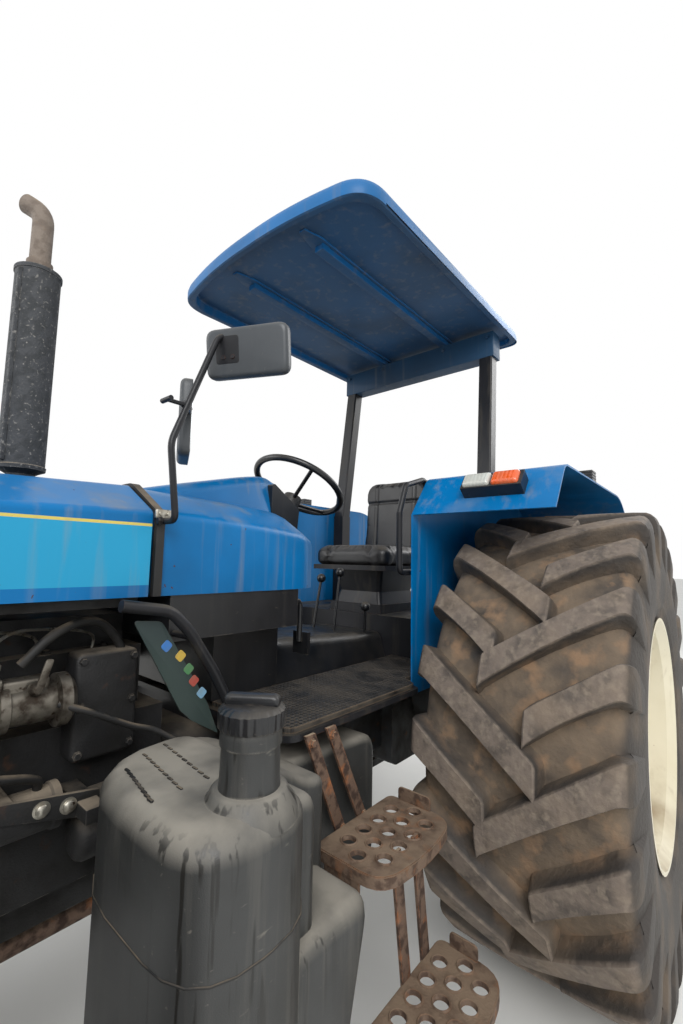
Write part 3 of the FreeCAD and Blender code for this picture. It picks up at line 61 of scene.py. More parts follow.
def make_camera():
    """The camera looks along a line turned from +Y toward -X, pitched up, and rolled a little."""
    forward = Vector((
        -math.sin(CAMERA_TURN) * math.cos(CAMERA_PITCH),
        math.cos(CAMERA_TURN) * math.cos(CAMERA_PITCH),
        math.sin(CAMERA_PITCH),
    ))
    level = Vector((math.cos(CAMERA_TURN), math.sin(CAMERA_TURN), 0.0))
    raised = level.cross(forward)
    right = level * math.cos(CAMERA_ROLL) + raised * math.sin(CAMERA_ROLL)
    up = raised * math.cos(CAMERA_ROLL) - level * math.sin(CAMERA_ROLL)
    turn = Matrix((right, up, -forward)).transposed().to_4x4()
    data = bpy.data.cameras.new("camera")
    data.sensor_width = LONG_SIDE_MM
    data.lens = FOCAL_PIXELS / IMAGE_HEIGHT * LONG_SIDE_MM
    data.clip_start = 0.02
    camera = bpy.data.objects.new("camera", data)
    camera.matrix_world = Matrix.Translation(CAMERA_PLACE) @ turn
    bpy.context.scene.collection.objects.link(camera)
    bpy.context.scene.camera = camera


make_camera()


# Shapes


def at(points):
    """Places in millimetres, counted from under the rear axle, as places in the frame in metres."""
    return np.asarray(points, dtype=float) * MM + (0.0, AXLE_Y, 0.0)


def patch(points, round_rows=False, round_columns=False):
    """Grids of points, shaped (..., rows, columns, 3), as vertices and the quads between neighbours.

    A grid may close on itself along its rows or its columns.
    """
    rows, columns = points.shape[-3:-1]
    row = np.arange(rows if round_rows else rows - 1)[:, None]
    column = np.arange(columns if round_columns else columns - 1)[None, :]
    next_row = (row + 1) % rows
    next_column = (column + 1) % columns
    corners = [row * columns + column, row * columns + next_column,
               next_row * columns + next_column, next_row * columns + column]
    faces = np.stack([corner.ravel() for corner in corners], axis=1)
    first = np.arange(points.size // (rows * columns * 3))[:, None, None] * rows * columns
    return points.reshape(-1, 3), (faces + first).reshape(-1, 4)


def piece(name, patches, body, finish, sharp=35.0, heights=None):
    """Joins patches into one mesh, merges doubles, turns faces outwards, and puts it on a body."""
    points = np.concatenate([part[0] for part in patches])
    starts = np.cumsum([0] + [len(part[0]) for part in patches])
    faces = [face for part, start in zip(patches, starts) for face in (part[1] + start).tolist()]
    mesh = bpy.data.meshes.new(name)
    mesh.from_pydata(points.tolist(), [], faces)
    if heights is not None:
        mesh.attributes.new("height", "FLOAT", "POINT").data.foreach_set(
            "value", np.asarray(heights, dtype=np.float32))
    shell = bmesh.new()
    shell.from_mesh(mesh)
    bmesh.ops.remove_doubles(shell, verts=shell.verts, dist=1e-6)
    bmesh.ops.recalc_face_normals(shell, faces=shell.faces)
    shell.to_mesh(mesh)
    shell.free()
    mesh.polygons.foreach_set("use_smooth", np.ones(len(mesh.polygons), dtype=bool))
    mesh.set_sharp_from_angle(angle=math.radians(sharp))
    mesh.materials.append(finish)
    obj = bpy.data.objects.new(name, mesh)
    bpy.context.scene.collection.objects.link(obj)
    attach(obj, body)
    return obj


def smooth_line(corners, count):
    """A line that bends smoothly through its corners: Catmull-Rom, each point from its four nearest."""
    inner = np.asarray(corners, dtype=float)
    ends = [2.0 * inner[0] - inner[1]], [2.0 * inner[-1] - inner[-2]]
    line = np.concatenate([ends[0], inner, ends[1]])
    along = np.linspace(0.0, len(inner) - 1.0, count)
    i = np.minimum(along.astype(int), len(inner) - 2)
    t = (along - i)[:, None]
    p0, p1, p2, p3 = (line[i + k] for k in range(4))
    return 0.5 * (2.0 * p1 + (p2 - p0) * t + (2.0 * p0 - 5.0 * p1 + 4.0 * p2 - p3) * t ** 2
                  + (3.0 * p1 - p0 - 3.0 * p2 + p3) * t ** 3)


def outline(corners, steps=6):
    """A closed outline through corners (u, v, cut), each rounded by a quadratic curve as far as its cut."""
    table = np.asarray(corners, dtype=float)
    point, cut = table[:, :2], table[:, 2:]
    before = np.roll(point, 1, axis=0) - point
    after = np.roll(point, -1, axis=0) - point
    start = point + before / np.linalg.norm(before, axis=1, keepdims=True) * cut
    end = point + after / np.linalg.norm(after, axis=1, keepdims=True) * cut
    t = np.linspace(0.0, 1.0, steps)[None, :, None]
    curve = (1.0 - t) ** 2 * start[:, None] + 2.0 * t * (1.0 - t) * point[:, None] + t ** 2 * end[:, None]
    return curve.reshape(-1, 2)


def stacked(sections, plane, places):
    """Closed outlines standing across an axis at several places along it, closed at both ends."""
    sections = np.asarray(sections)
    sections = np.concatenate([
        np.broadcast_to(sections[:1].mean(axis=1, keepdims=True), sections[:1].shape), sections,
        np.broadcast_to(sections[-1:].mean(axis=1, keepdims=True), sections[-1:].shape),
    ])
    places = np.concatenate([places[:1], places, places[-1:]])
    u, v = sections[..., 0], sections[..., 1]
    w = np.broadcast_to(np.asarray(places, dtype=float)[:, None], u.shape)
    order = {"x": (w, u, v), "y": (u, w, v), "z": (u, v, w)}[plane]
    return patch(at(np.stack(order, axis=-1)), round_columns=True)


def block(corners, plane, start, end, edges=(3.0, 3.0), steps=4):
    """An outline carried along an axis, its two ends rounded in by a quarter circle each."""
    full = outline(corners)
    middle = (full.max(axis=0) + full.min(axis=0)) / 2.0
    half = np.ptp(full, axis=0) / 2.0
    angle = np.linspace(0.0, math.pi / 2.0, steps)
    insets = np.concatenate([edges[0] * (1.0 - np.sin(angle)), edges[1] * (1.0 - np.sin(angle[::-1]))])
    places = np.concatenate([start + edges[0] * (1.0 - np.cos(angle)),
                             end - edges[1] * (1.0 - np.cos(angle[::-1]))])
    shrink = 1.0 - insets[:, None, None] / half
    return stacked(middle + (full - middle) * shrink, plane, places)


def oblong(u0, u1, v0, v1, cut):
    """The corners of a rounded rectangle."""
    return [(u0, v0, cut), (u1, v0, cut), (u1, v1, cut), (u0, v1, cut)]


def lathe(profile, places, axis, sides=24, closed=False, flutes=0, flute_depth=0.0):
    """A profile of (distance along the axis, radius) pairs spun about an axis at each of several places.

    With flutes, the radius also rises and falls that many times round the axis.
    """
    axis = np.asarray(axis, dtype=float) / np.linalg.norm(axis)
    across = np.cross(axis, (0.0, 0.0, 1.0) if abs(axis[2]) < 0.9 else (1.0, 0.0, 0.0))
    across /= np.linalg.norm(across)
    third = np.cross(axis, across)
    angle = np.linspace(0.0, 2.0 * math.pi, sides, endpoint=False)[:, None]
    spokes = np.cos(angle) * across + np.sin(angle) * third
    spokes = spokes * (1.0 + flute_depth * np.cos(flutes * angle))
    along, radius = np.asarray(profile, dtype=float).T
    points = along[:, None, None] * axis + radius[:, None, None] * spokes
    places = np.asarray(places, dtype=float).reshape(-1, 1, 1, 3)
    return patch(at(places + points), round_rows=closed, round_columns=True)


def swept(line, section, closed_ends=True, fixed=None):
    """A closed section of (side, rise) pairs carried along a line, square to it."""
    line = np.asarray(line, dtype=float)
    ahead = np.gradient(line, axis=0)
    ahead /= np.linalg.norm(ahead, axis=1, keepdims=True)
    if fixed is None:
        fixed = np.eye(3)[np.abs(ahead).max(axis=0).argmin()]
    side = np.cross(ahead, fixed)
    side /= np.linalg.norm(side, axis=1, keepdims=True)
    rise = np.cross(side, ahead)
    section = np.asarray(section, dtype=float)
    points = (line[:, None] + section[None, :, :1] * side[:, None] + section[None, :, 1:] * rise[:, None])
    if closed_ends:
        points = np.concatenate([np.broadcast_to(line[:1, None], points[:1].shape), points,
                                 np.broadcast_to(line[-1:, None], points[-1:].shape)])
    return patch(at(points), round_columns=True)


def circle(radius, sides=12):
    """A circle as (side, rise) pairs."""
    angle = np.linspace(0.0, 2.0 * math.pi, sides, endpoint=False)
    return np.stack([radius * np.cos(angle), radius * np.sin(angle)], axis=1)


def bent(points, bend, steps=8):
    """A path of straight runs whose corners are rounded by a quadratic curve as far as a bend."""
    table = np.asarray(points, dtype=float)
    before = table[:-2] - table[1:-1]
    after = table[2:] - table[1:-1]
    start = table[1:-1] + before / np.linalg.norm(before, axis=1, keepdims=True) * bend
    end = table[1:-1] + after / np.linalg.norm(after, axis=1, keepdims=True) * bend
    t = np.linspace(0.0, 1.0, steps)[None, :, None]
    curve = (1.0 - t) ** 2 * start[:, None] + 2.0 * t * (1.0 - t) * table[1:-1, None] + t ** 2 * end[:, None]
    return np.concatenate([table[:1], curve.reshape(-1, 3), table[-1:]])


def turned(part, turns, about):
    """A patch turned about a place in millimetres by (axis, degrees) turns, one after the other."""
    middle = at(about)
    spin = Matrix.Identity(3)
    for axis, degrees in turns:
        spin = Matrix.Rotation(math.radians(degrees), 3, axis) @ spin
    return (part[0] - middle) @ np.array(spin).T + middle, part[1]


def mirrored(part):
    """The same patch on the tractor's other side."""
    return part[0] * (-1.0, 1.0, 1.0), part[1][:, ::-1]


HEX_BOLT = [(0.0, 0.0), (0.0, 1.25), (0.25, 1.25), (0.25, 1.0), (0.85, 1.0), (1.0, 0.85), (1.0, 0.0)]


def bolts(places, axis, size):
    """Six-sided bolt heads with a washer, whose half width is the size."""
    return lathe(np.asarray(HEX_BOLT) * size, places, axis, sides=6)


# Finishes


def hex_colour(text):
    """An sRGB hex colour as linear red, green, blue and alpha."""
    values = [int(text[i:i + 2], 16) / 255.0 for i in (0, 2, 4)]
    linear = [v / 12.92 if v <= 0.04045 else ((v + 0.055) / 1.055) ** 2.4 for v in values]
    return (*linear, 1.0)


def node(tree, kind, inputs=None, **settings):
    """Adds a node: its settings first, then its inputs by name or number, each a value or a socket."""
    made = tree.nodes.new("ShaderNode" + kind)
    for name, value in settings.items():
        setattr(made, name, value)
    for key, value in (inputs or {}).items():
        if isinstance(value, bpy.types.NodeSocket):
            tree.links.new(value, made.inputs[key])
        else:
            made.inputs[key].default_value = value
    return made


def new_material(name):
    """A material with its shader and the places on the object that its patterns read."""
    material = bpy.data.materials.new(name)
    material.use_nodes = True
    tree = material.node_tree
    return material, tree, tree.nodes["Principled BSDF"], node(tree, "TexCoord").outputs["Object"]


def cloud(tree, place, size_mm, low, high, stretch=(1.0, 1.0, 1.0), detail=5.0):
    """Soft patches of a size: 0 where the noise is under low and 1 where it is over high."""
    spread = node(tree, "Mapping", {"Vector": place, "Scale": stretch}).outputs[0]
    noise = node(tree, "TexNoise", {"Vector": spread, "Scale": 1.0 / (size_mm * MM), "Detail": detail})
    return node(tree, "MapRange", {"Value": noise.outputs["Fac"], "From Min": low, "From Max": high}).outputs[0]


def both_of(tree, first, second):
    """Where both masks hold: their product."""
    return node(tree, "Math", {0: first, 1: second}, operation="MULTIPLY").outputs[0]


def facing(tree, low, high, axis=2):
    """How far a surface faces along an axis: 0 where its normal's part is low and 1 where it is high."""
    normal = node(tree, "NewGeometry").outputs["Normal"]
    part = node(tree, "SeparateXYZ", {0: normal}).outputs[axis]
    return node(tree, "MapRange", {"Value": part, "From Min": low, "From Max": high}).outputs[0]


def worn_edges(tree, radius_mm, low=0.97, high=0.80):
    """Edges within a radius: where the rounded normal turns away from the true one."""
    soft = node(tree, "Bevel", {"Radius": radius_mm * MM}, samples=3).outputs[0]
    true = node(tree, "NewGeometry").outputs["Normal"]
    match = node(tree, "VectorMath", {0: soft, 1: true}, operation="DOT_PRODUCT").outputs["Value"]
    return node(tree, "MapRange", {"Value": match, "From Min": low, "From Max": high}).outputs[0]


def between(tree, value, low, high, soft):
    """A band: 1 between low and high, falling to 0 within soft of each."""
    rise = node(tree, "MapRange", {"Value": value, "From Min": low - soft, "From Max": low}).outputs[0]
    fall = node(tree, "MapRange", {"Value": value, "From Min": high + soft, "From Max": high}).outputs[0]
    return both_of(tree, rise, fall)


def coat(tree, shader, base, rough, layers, bumps=()):
    """A base colour and roughness under layers of (mask, colour, roughness), and bumps of (height, mm)."""
    colour, roughness = hex_colour(base), rough
    for mask, layer, layer_rough in layers:
        colour = node(tree, "Mix", {0: mask, 6: colour, 7: hex_colour(layer)}, data_type="RGBA").outputs[2]
        roughness = node(tree, "Mix", {0: mask, 2: roughness, 3: layer_rough}).outputs[0]
    tree.links.new(colour, shader.inputs["Base Color"])
    tree.links.new(roughness, shader.inputs["Roughness"])
    normal = None
    for height, depth_mm in bumps:
        inputs = {"Height": height, "Distance": depth_mm * MM, "Strength": 1.0}
        if normal is not None:
            inputs["Normal"] = normal
        normal = node(tree, "Bump", inputs).outputs[0]
    if normal is not None:
        tree.links.new(normal, shader.inputs["Normal"])


def painted_steel(name, paint, shade, rough, dust, dust_low, wear, bare="4a2f22", bands=None):
    """Sheet steel sprayed with enamel: an even gloss with a little orange peel, dulled by dust on top.

    Its edges are rubbed through to rust, and rain has drawn faint streaks down its sides.
    """
    material, tree, shader, place = new_material(name)
    layers = [(cloud(tree, place, 380.0, 0.40, 0.72), shade, rough + 0.08)]
    if bands:
        layers += bands(tree, place)
    streaks = both_of(tree, cloud(tree, place, 34.0, 0.55, 0.80, (1.0, 1.0, 0.07)), 0.35)
    layers.append((streaks, dust, 0.7))
    lying = both_of(tree, facing(tree, 0.35, 0.95), cloud(tree, place, 160.0, dust_low, dust_low + 0.35))
    layers.append((lying, dust, 0.85))
    if wear > 0.0:
        rubbed = both_of(tree, worn_edges(tree, 3.5), cloud(tree, place, 45.0, 0.62 - wear, 0.74 - wear))
        layers.append((rubbed, bare, 0.8))
    chips = cloud(tree, place, 14.0, 0.76 - 0.1 * wear, 0.79, detail=2.0)
    layers.append((chips, bare, 0.8))
    # Orange peel is about 1.5 mm across and hardly 0.02 mm deep
    peel = cloud(tree, place, 3.0, 0.0, 1.0, detail=1.0)
    dents = cloud(tree, place, 260.0, 0.0, 1.0, detail=1.0)
    coat(tree, shader, paint, rough, layers, [(dents, 2.2), (peel, 0.05)])
    shader.inputs["Specular IOR Level"].default_value = 0.25
    shader.inputs["Coat Weight"].default_value = 0.05
    shader.inputs["Coat Roughness"].default_value = 0.15
    return material


def sand_casting(name, paint, grime, rust, rust_low):
    """Cast iron from a sand mould under dull paint: a coarse grain, with oily dirt and rust over it."""
    material, tree, shader, place = new_material(name)
    layers = [
        (cloud(tree, place, 90.0, 0.42, 0.62), grime, 0.75),
        (cloud(tree, place, 40.0, rust_low, rust_low + 0.12), rust, 0.9),
        (both_of(tree, facing(tree, 0.3, 0.9), cloud(tree, place, 120.0, 0.35, 0.65)), "7d7263", 0.95),
        (both_of(tree, worn_edges(tree, 3.0), cloud(tree, place, 30.0, 0.50, 0.62)), "6d675f", 0.5),
    ]
    grain = cloud(tree, place, 5.0, 0.0, 1.0, detail=3.0)
    lumps = cloud(tree, place, 60.0, 0.0, 1.0, detail=1.0)
    coat(tree, shader, paint, 0.55, layers, [(lumps, 3.0), (grain, 0.8)])
    return material


def rusted_steel(name, steel, light_rust, dark_rust, light_low, patch_mm=60.0, dust="a3937c"):
    """Bare or once painted steel left to rust: brown all over, orange in patches, dark in the pits."""
    material, tree, shader, place = new_material(name)
    layers = [
        (cloud(tree, place, 26.0, 0.46, 0.60), dark_rust, 0.85),
        (cloud(tree, place, patch_mm, light_low, light_low + 0.14), light_rust, 0.9),
        (both_of(tree, worn_edges(tree, 3.0), cloud(tree, place, 24.0, 0.40, 0.58)), light_rust, 0.85),
        (both_of(tree, facing(tree, 0.4, 0.95), cloud(tree, place, 90.0, 0.36, 0.60)), dust, 0.95),
    ]
    pits = cloud(tree, place, 6.0, 0.35, 0.70, detail=3.0)
    coat(tree, shader, steel, 0.7, layers, [(pits, 0.7)])
    shader.inputs["Metallic"].default_value = 0.15
    return material


def bright_metal(name, metal, dull, rough):
    """Zinc plate, turned steel or cast aluminium: a metal shine broken by dull oxide and dark oil."""
    material, tree, shader, place = new_material(name)
    layers = [
        (cloud(tree, place, 35.0, 0.46, 0.66), dull, 0.6),
        (cloud(tree, place, 18.0, 0.60, 0.70), "33261c", 0.7),
    ]
    grain = cloud(tree, place, 3.0, 0.0, 1.0, detail=2.0)
    coat(tree, shader, metal, rough, layers, [(grain, 0.12)])
    shader.inputs["Metallic"].default_value = 0.85
    return material


def moulded_plastic(name, plastic, worn, dust, rough, dust_low, streaked, runs=None):
    """Polyethylene moulded with a fine leather grain: dark and waxy, paler where it is worn or dusty."""
    material, tree, shader, place = new_material(name)
    layers = [(cloud(tree, place, 210.0, 0.42, 0.66), worn, rough + 0.06)]
    drips = cloud(tree, place, 24.0, 0.54, 0.80, (1.0, 1.0, 0.06))
    layers.append((both_of(tree, drips, streaked), dust, 0.7))
    lying = both_of(tree, facing(tree, 0.10, 0.90), cloud(tree, place, 110.0, dust_low, dust_low + 0.50))
    layers.append((lying, dust, 0.9))
    if runs:
        layers += runs(tree, place)
    rubbed = both_of(tree, worn_edges(tree, 5.0), cloud(tree, place, 34.0, 0.44, 0.62))
    layers.append((both_of(tree, rubbed, 0.6), dust, 0.7))
    scuffs = cloud(tree, place, 9.0, 0.68, 0.78, (1.0, 0.25, 1.0), 3.0)
    layers.append((both_of(tree, scuffs, 0.35), dust, 0.8))
    # A moulding's grain is about 1 mm across, drawn twice as coarse so that it shows
    grain = node(tree, "TexVoronoi", {"Vector": place, "Scale": 1.0 / (2.2 * MM)}).outputs["Distance"]
    waves = cloud(tree, place, 130.0, 0.0, 1.0, detail=1.0)
    coat(tree, shader, plastic, rough, layers, [(waves, 2.0), (grain, 0.12)])
    shader.inputs["IOR"].default_value = 1.5
    return material


def mat_rubber(name):
    """Pressed rubber matting with rows of small round studs, worn brown and dusty between them."""
    material, tree, shader, place = new_material(name)
    pitch = 15.0
    studs = node(tree, "TexVoronoi", {"Vector": place, "Scale": 1.0 / (pitch * MM), "Randomness": 0.0},
                 voronoi_dimensions="2D").outputs["Distance"]
    top = node(tree, "MapRange", {"Value": studs, "From Min": 0.42, "From Max": 0.25}).outputs[0]
    dirt = both_of(tree, node(tree, "Math", {0: 1.0, 1: top}, operation="SUBTRACT").outputs[0],
                   cloud(tree, place, 60.0, 0.35, 0.60))
    layers = [
        (both_of(tree, dirt, 0.75), "4d463d", 0.95),
        (both_of(tree, cloud(tree, place, 200.0, 0.50, 0.70), 0.25), "5f5547", 0.95),
        (both_of(tree, worn_edges(tree, 6.0), 0.8), "7a6751", 0.9),
    ]
    coat(tree, shader, "161617", 0.45, layers, [(top, 2.5)])
    return material


def tyre_rubber(name):
    """Vulcanised tread rubber: black under dried soil, dark where the lugs' tops are rubbed clean.

    The height attribute runs from 0 on the carcass to 1 on top of a lug.
    """
    material, tree, shader, place = new_material(name)
    height = node(tree, "Attribute", attribute_name="height").outputs["Fac"]
    worn_top = node(tree, "MapRange", {"Value": height, "From Min": 0.86, "From Max": 0.99}).outputs[0]
    low = node(tree, "MapRange", {"Value": height, "From Min": 0.75, "From Max": 0.0}).outputs[0]
    soil = both_of(tree, low, cloud(tree, place, 90.0, 0.30, 0.62))
    layers = [
        (soil, "6e6051", 0.97),
        (both_of(tree, low, cloud(tree, place, 60.0, 0.50, 0.66)), "856c55", 0.97),
        (both_of(tree, worn_top, cloud(tree, place, 55.0, 0.25, 0.55)), "6c6158", 0.85),
        (both_of(tree, worn_top, cloud(tree, place, 20.0, 0.48, 0.70)), "7b7064", 0.92),
        (both_of(tree, cloud(tree, place, 170.0, 0.48, 0.68), 0.35), "83725f", 0.97),
    ]
    clods = cloud(tree, place, 16.0, 0.40, 0.80, detail=6.0)
    grain = cloud(tree, place, 3.5, 0.0, 1.0, detail=3.0)
    coat(tree, shader, "37322e", 0.7, layers, [(clods, 1.6), (grain, 0.5)])
    return material


def seat_vinyl(name):
    """Black leathercloth: soft sheen over a pressed grain, greyed by dust in its creases."""
    material, tree, shader, place = new_material(name)
    layers = [
        (cloud(tree, place, 120.0, 0.45, 0.70), "2b2a2a", 0.5),
        (both_of(tree, facing(tree, 0.5, 1.0), cloud(tree, place, 90.0, 0.40, 0.75)), "5c554c", 0.8),
    ]
    # The pressed grain is about 1.5 mm across
    grain = node(tree, "TexVoronoi", {"Vector": place, "Scale": 1.0 / (3.0 * MM)}).outputs["Distance"]
    coat(tree, shader, "141415", 0.38, layers, [(grain, 0.25)])
    return material


def smooth_rubber(name):
    """Extruded hose and strap rubber: matt black with a grey bloom and dust on top."""
    material, tree, shader, place = new_material(name)
    layers = [
        (cloud(tree, place, 50.0, 0.48, 0.70), "2e2c2a", 0.8),
        (both_of(tree, facing(tree, 0.3, 0.95), cloud(tree, place, 60.0, 0.38, 0.62)), "6d6253", 0.95),
    ]
    coat(tree, shader, "171717", 0.6, layers, [(cloud(tree, place, 4.0, 0.0, 1.0, detail=2.0), 0.2)])
    return material


def lens_plastic(name, colour, rough=0.12):
    """A moulded acrylic lens: clear gloss over fine ribs that break up what is behind it."""
    material, tree, shader, place = new_material(name)
    ribs = node(tree, "TexWave", {"Vector": place, "Scale": 1.0 / (40.0 * MM)}, bands_direction="X").outputs["Fac"]
    dust = both_of(tree, cloud(tree, place, 40.0, 0.40, 0.75), 0.35)
    coat(tree, shader, colour, rough, [(dust, "a39a8a", 0.6)], [(ribs, 0.6)])
    shader.inputs["IOR"].default_value = 1.49
    shader.inputs["Coat Weight"].default_value = 0.5
    return material


def mirror_glass(name):
    """Silvered glass: a clean mirror, with dust in soft patches."""
    material, tree, shader, place = new_material(name)
    coat(tree, shader, "d5dadd", 0.03, [(both_of(tree, cloud(tree, place, 60.0, 0.45, 0.75), 0.3), "9c968c", 0.5)])
    shader.inputs["Metallic"].default_value = 1.0
    return material


# The hood's side: a turquoise field with a yellow line above it
FIELD_LOW_Z = 1.319
FIELD_TOP_Z = 1.455
LINE_TOP_Z = 1.461
FIELD_FRONT_Y = -2.50 + AXLE_Y


def hood_bands(tree, place):
    """The decal on the hood's sides, as two bands between heights, ending ahead of the seam."""
    split = node(tree, "SeparateXYZ", {0: place})
    side = facing(tree, 0.55, 0.60)
    outer = node(tree, "Math", {0: 1.0, 1: side}, operation="SUBTRACT").outputs[0]
    length = between(tree, split.outputs[1], FIELD_FRONT_Y, 0.0, 0.002)
    place_on = both_of(tree, outer, length)
    field = both_of(tree, place_on, between(tree, split.outputs[2], FIELD_LOW_Z, FIELD_TOP_Z, 0.0005))
    line = both_of(tree, place_on, between(tree, split.outputs[2], FIELD_TOP_Z, LINE_TOP_Z, 0.0005))
    return [(field, "2493bd", 0.3), (line, "cdbb62", 0.35)]


def roof_underside_shade(tree, place):
    """Painted shade on the roof's underside: its downward faces are painted a darker blue-grey, with darker grey
    patches over that.
    """
    under = facing(tree, -0.3, -0.9)
    return [(both_of(tree, under, 0.75), "2a3f54", 0.65),
            (both_of(tree, under, both_of(tree, cloud(tree, place, 240.0, 0.46, 0.70), 0.4)), "2b333a", 0.75)]


NECK = (730.0, -1488.5)


def fuel_runs(tree, place):
    """Dark diesel stains that spread from the neck over the top and run down the tank's front."""
    centre = node(tree, "Mapping", {
        "Vector": place, "Location": (-NECK[0] * MM, -NECK[1] * MM - AXLE_Y, -0.86 * 0.42), "Scale": (1.0, 1.0, 0.42),
    }).outputs[0]
    far = node(tree, "VectorMath", {0: centre}, operation="LENGTH").outputs["Value"]
    near = node(tree, "MapRange", {"Value": far, "From Min": 0.21, "From Max": 0.15}).outputs[0]
    runs = both_of(tree, facing(tree, 0.90, 0.50), cloud(tree, place, 16.0, 0.57, 0.63, (1.0, 1.0, 0.07), 2.0))
    return [(both_of(tree, near, both_of(tree, runs, 0.8)), "141311", 0.35)]


BLUE = painted_steel("blue enamel on the hood", "0068a4", "075c92", 0.30, "8d8672", 0.56, 0.02, bands=hood_bands)
BODY_BLUE = painted_steel("blue enamel", "0068a4", "075282", 0.32, "8d8672", 0.54, 0.05)
# The roof's underside carries painted shade: a darker blue-grey on all its downward faces.
ROOF_BLUE = painted_steel("blue enamel on the roof", "1c639c", "1a527f", 0.42, "77736a", 0.45, 0.06, "6b4630", roof_underside_shade)
# The beam under the roof is painted a dark blue-grey like the roof's underside: painted shade.
SHADED_BEAM_BLUE = painted_steel("blue enamel darkened as painted shade", "20405c", "1c3247", 0.55, "77736a", 0.60, 0.05)
BLACK = painted_steel("black enamel", "1b1c1f", "232326", 0.35, "5c5548", 0.42, 0.10)
SHIELD = painted_steel("grey-green enamel", "35423f", "2b3537", 0.45, "6d675a", 0.42, 0.08)
CREAM = painted_steel("cream enamel", "dcd5bf", "cfc6ac", 0.40, "8f7c62", 0.40, 0.08, "6b4027")
CAST = sand_casting("painted casting", "25272a", "1a1815", "4d3526", 0.62)
CAST_DARK = sand_casting("oily casting", "1d1d1e", "12110f", "3d2a1f", 0.64)
RUSTY = rusted_steel("rusty steel", "6a5547", "a8673a", "3f2f27", 0.60)
STEP_STEEL = rusted_steel("rusty tread plate", "6d5a4b", "82593c", "4c3b30", 0.58, 40.0, "85725f")
EXHAUST = rusted_steel("scaled exhaust steel", "393b3e", "8d8a85", "36383a", 0.60, 9.0)
PIPE = rusted_steel("scaled outlet pipe", "756a60", "7c6754", "6b6057", 0.62)
ZINC = bright_metal("zinc-plated steel", "b9b5aa", "8a8172", 0.35)
ALUMINIUM = bright_metal("cast aluminium", "78736a", "3b342d", 0.45)
TURNED = bright_metal("turned steel", "8d8c89", "6b6258", 0.30)
TANK = moulded_plastic("polyethylene tank", "333434", "262726", "8a857b", 0.42, 0.12, 0.18, fuel_runs)
PLASTIC = moulded_plastic("black polypropylene", "151618", "1b1c1f", "5f584d", 0.30, 0.42, 0.06)
SHELL = moulded_plastic("grey-black mirror shell", "3b3f43", "33373b", "75726a", 0.40, 0.45, 0.10)
MAT = mat_rubber("studded rubber mat")
TYRE = tyre_rubber("tyre rubber")
VINYL = seat_vinyl("black leathercloth")
RUBBER = smooth_rubber("hose rubber")
ORANGE = lens_plastic("orange lens", "d6561c")
CLEAR = lens_plastic("clear lens", "b9bcb6")
RED = lens_plastic("red lens", "8c1a14")
GLASS = mirror_glass("mirror glass")

FINISH_OF_SLOT = {
    "blue_paint": BODY_BLUE, "black_paint": BLACK, "grey_green_paint": SHIELD, "cast_paint": CAST,
    "rusty_steel": RUSTY, "bright_steel": TURNED, "rubber": RUBBER, "tyre": TYRE, "rim_paint": CREAM,
    "black_plastic": PLASTIC, "vinyl": VINYL, "lamp": CLEAR, "mirror_shell": SHELL, "aluminium": ALUMINIUM,
}
FINISH_OF_NODE = {"hood_shell": BLUE, "floor_mat": MAT, "engine_block": CAST_DARK, "fender_lamps": PLASTIC}

slot_of = {row["node"]: row["material_slot"] for row in frame["record"]["subparts"]}
for name, obj in frame["nodes"].items():
    obj.data.materials.clear()
    obj.data.materials.append(FINISH_OF_NODE.get(name, FINISH_OF_SLOT[slot_of[name]]))


# Tyres

# Columns: share of the lug's way out, its top's height under the tyre's radius, its foot's way in
LUG_SLOPE = 0.75
LUG_STAGGER_DEG = 2.0
SIDEWALL_HEIGHT = 0.78


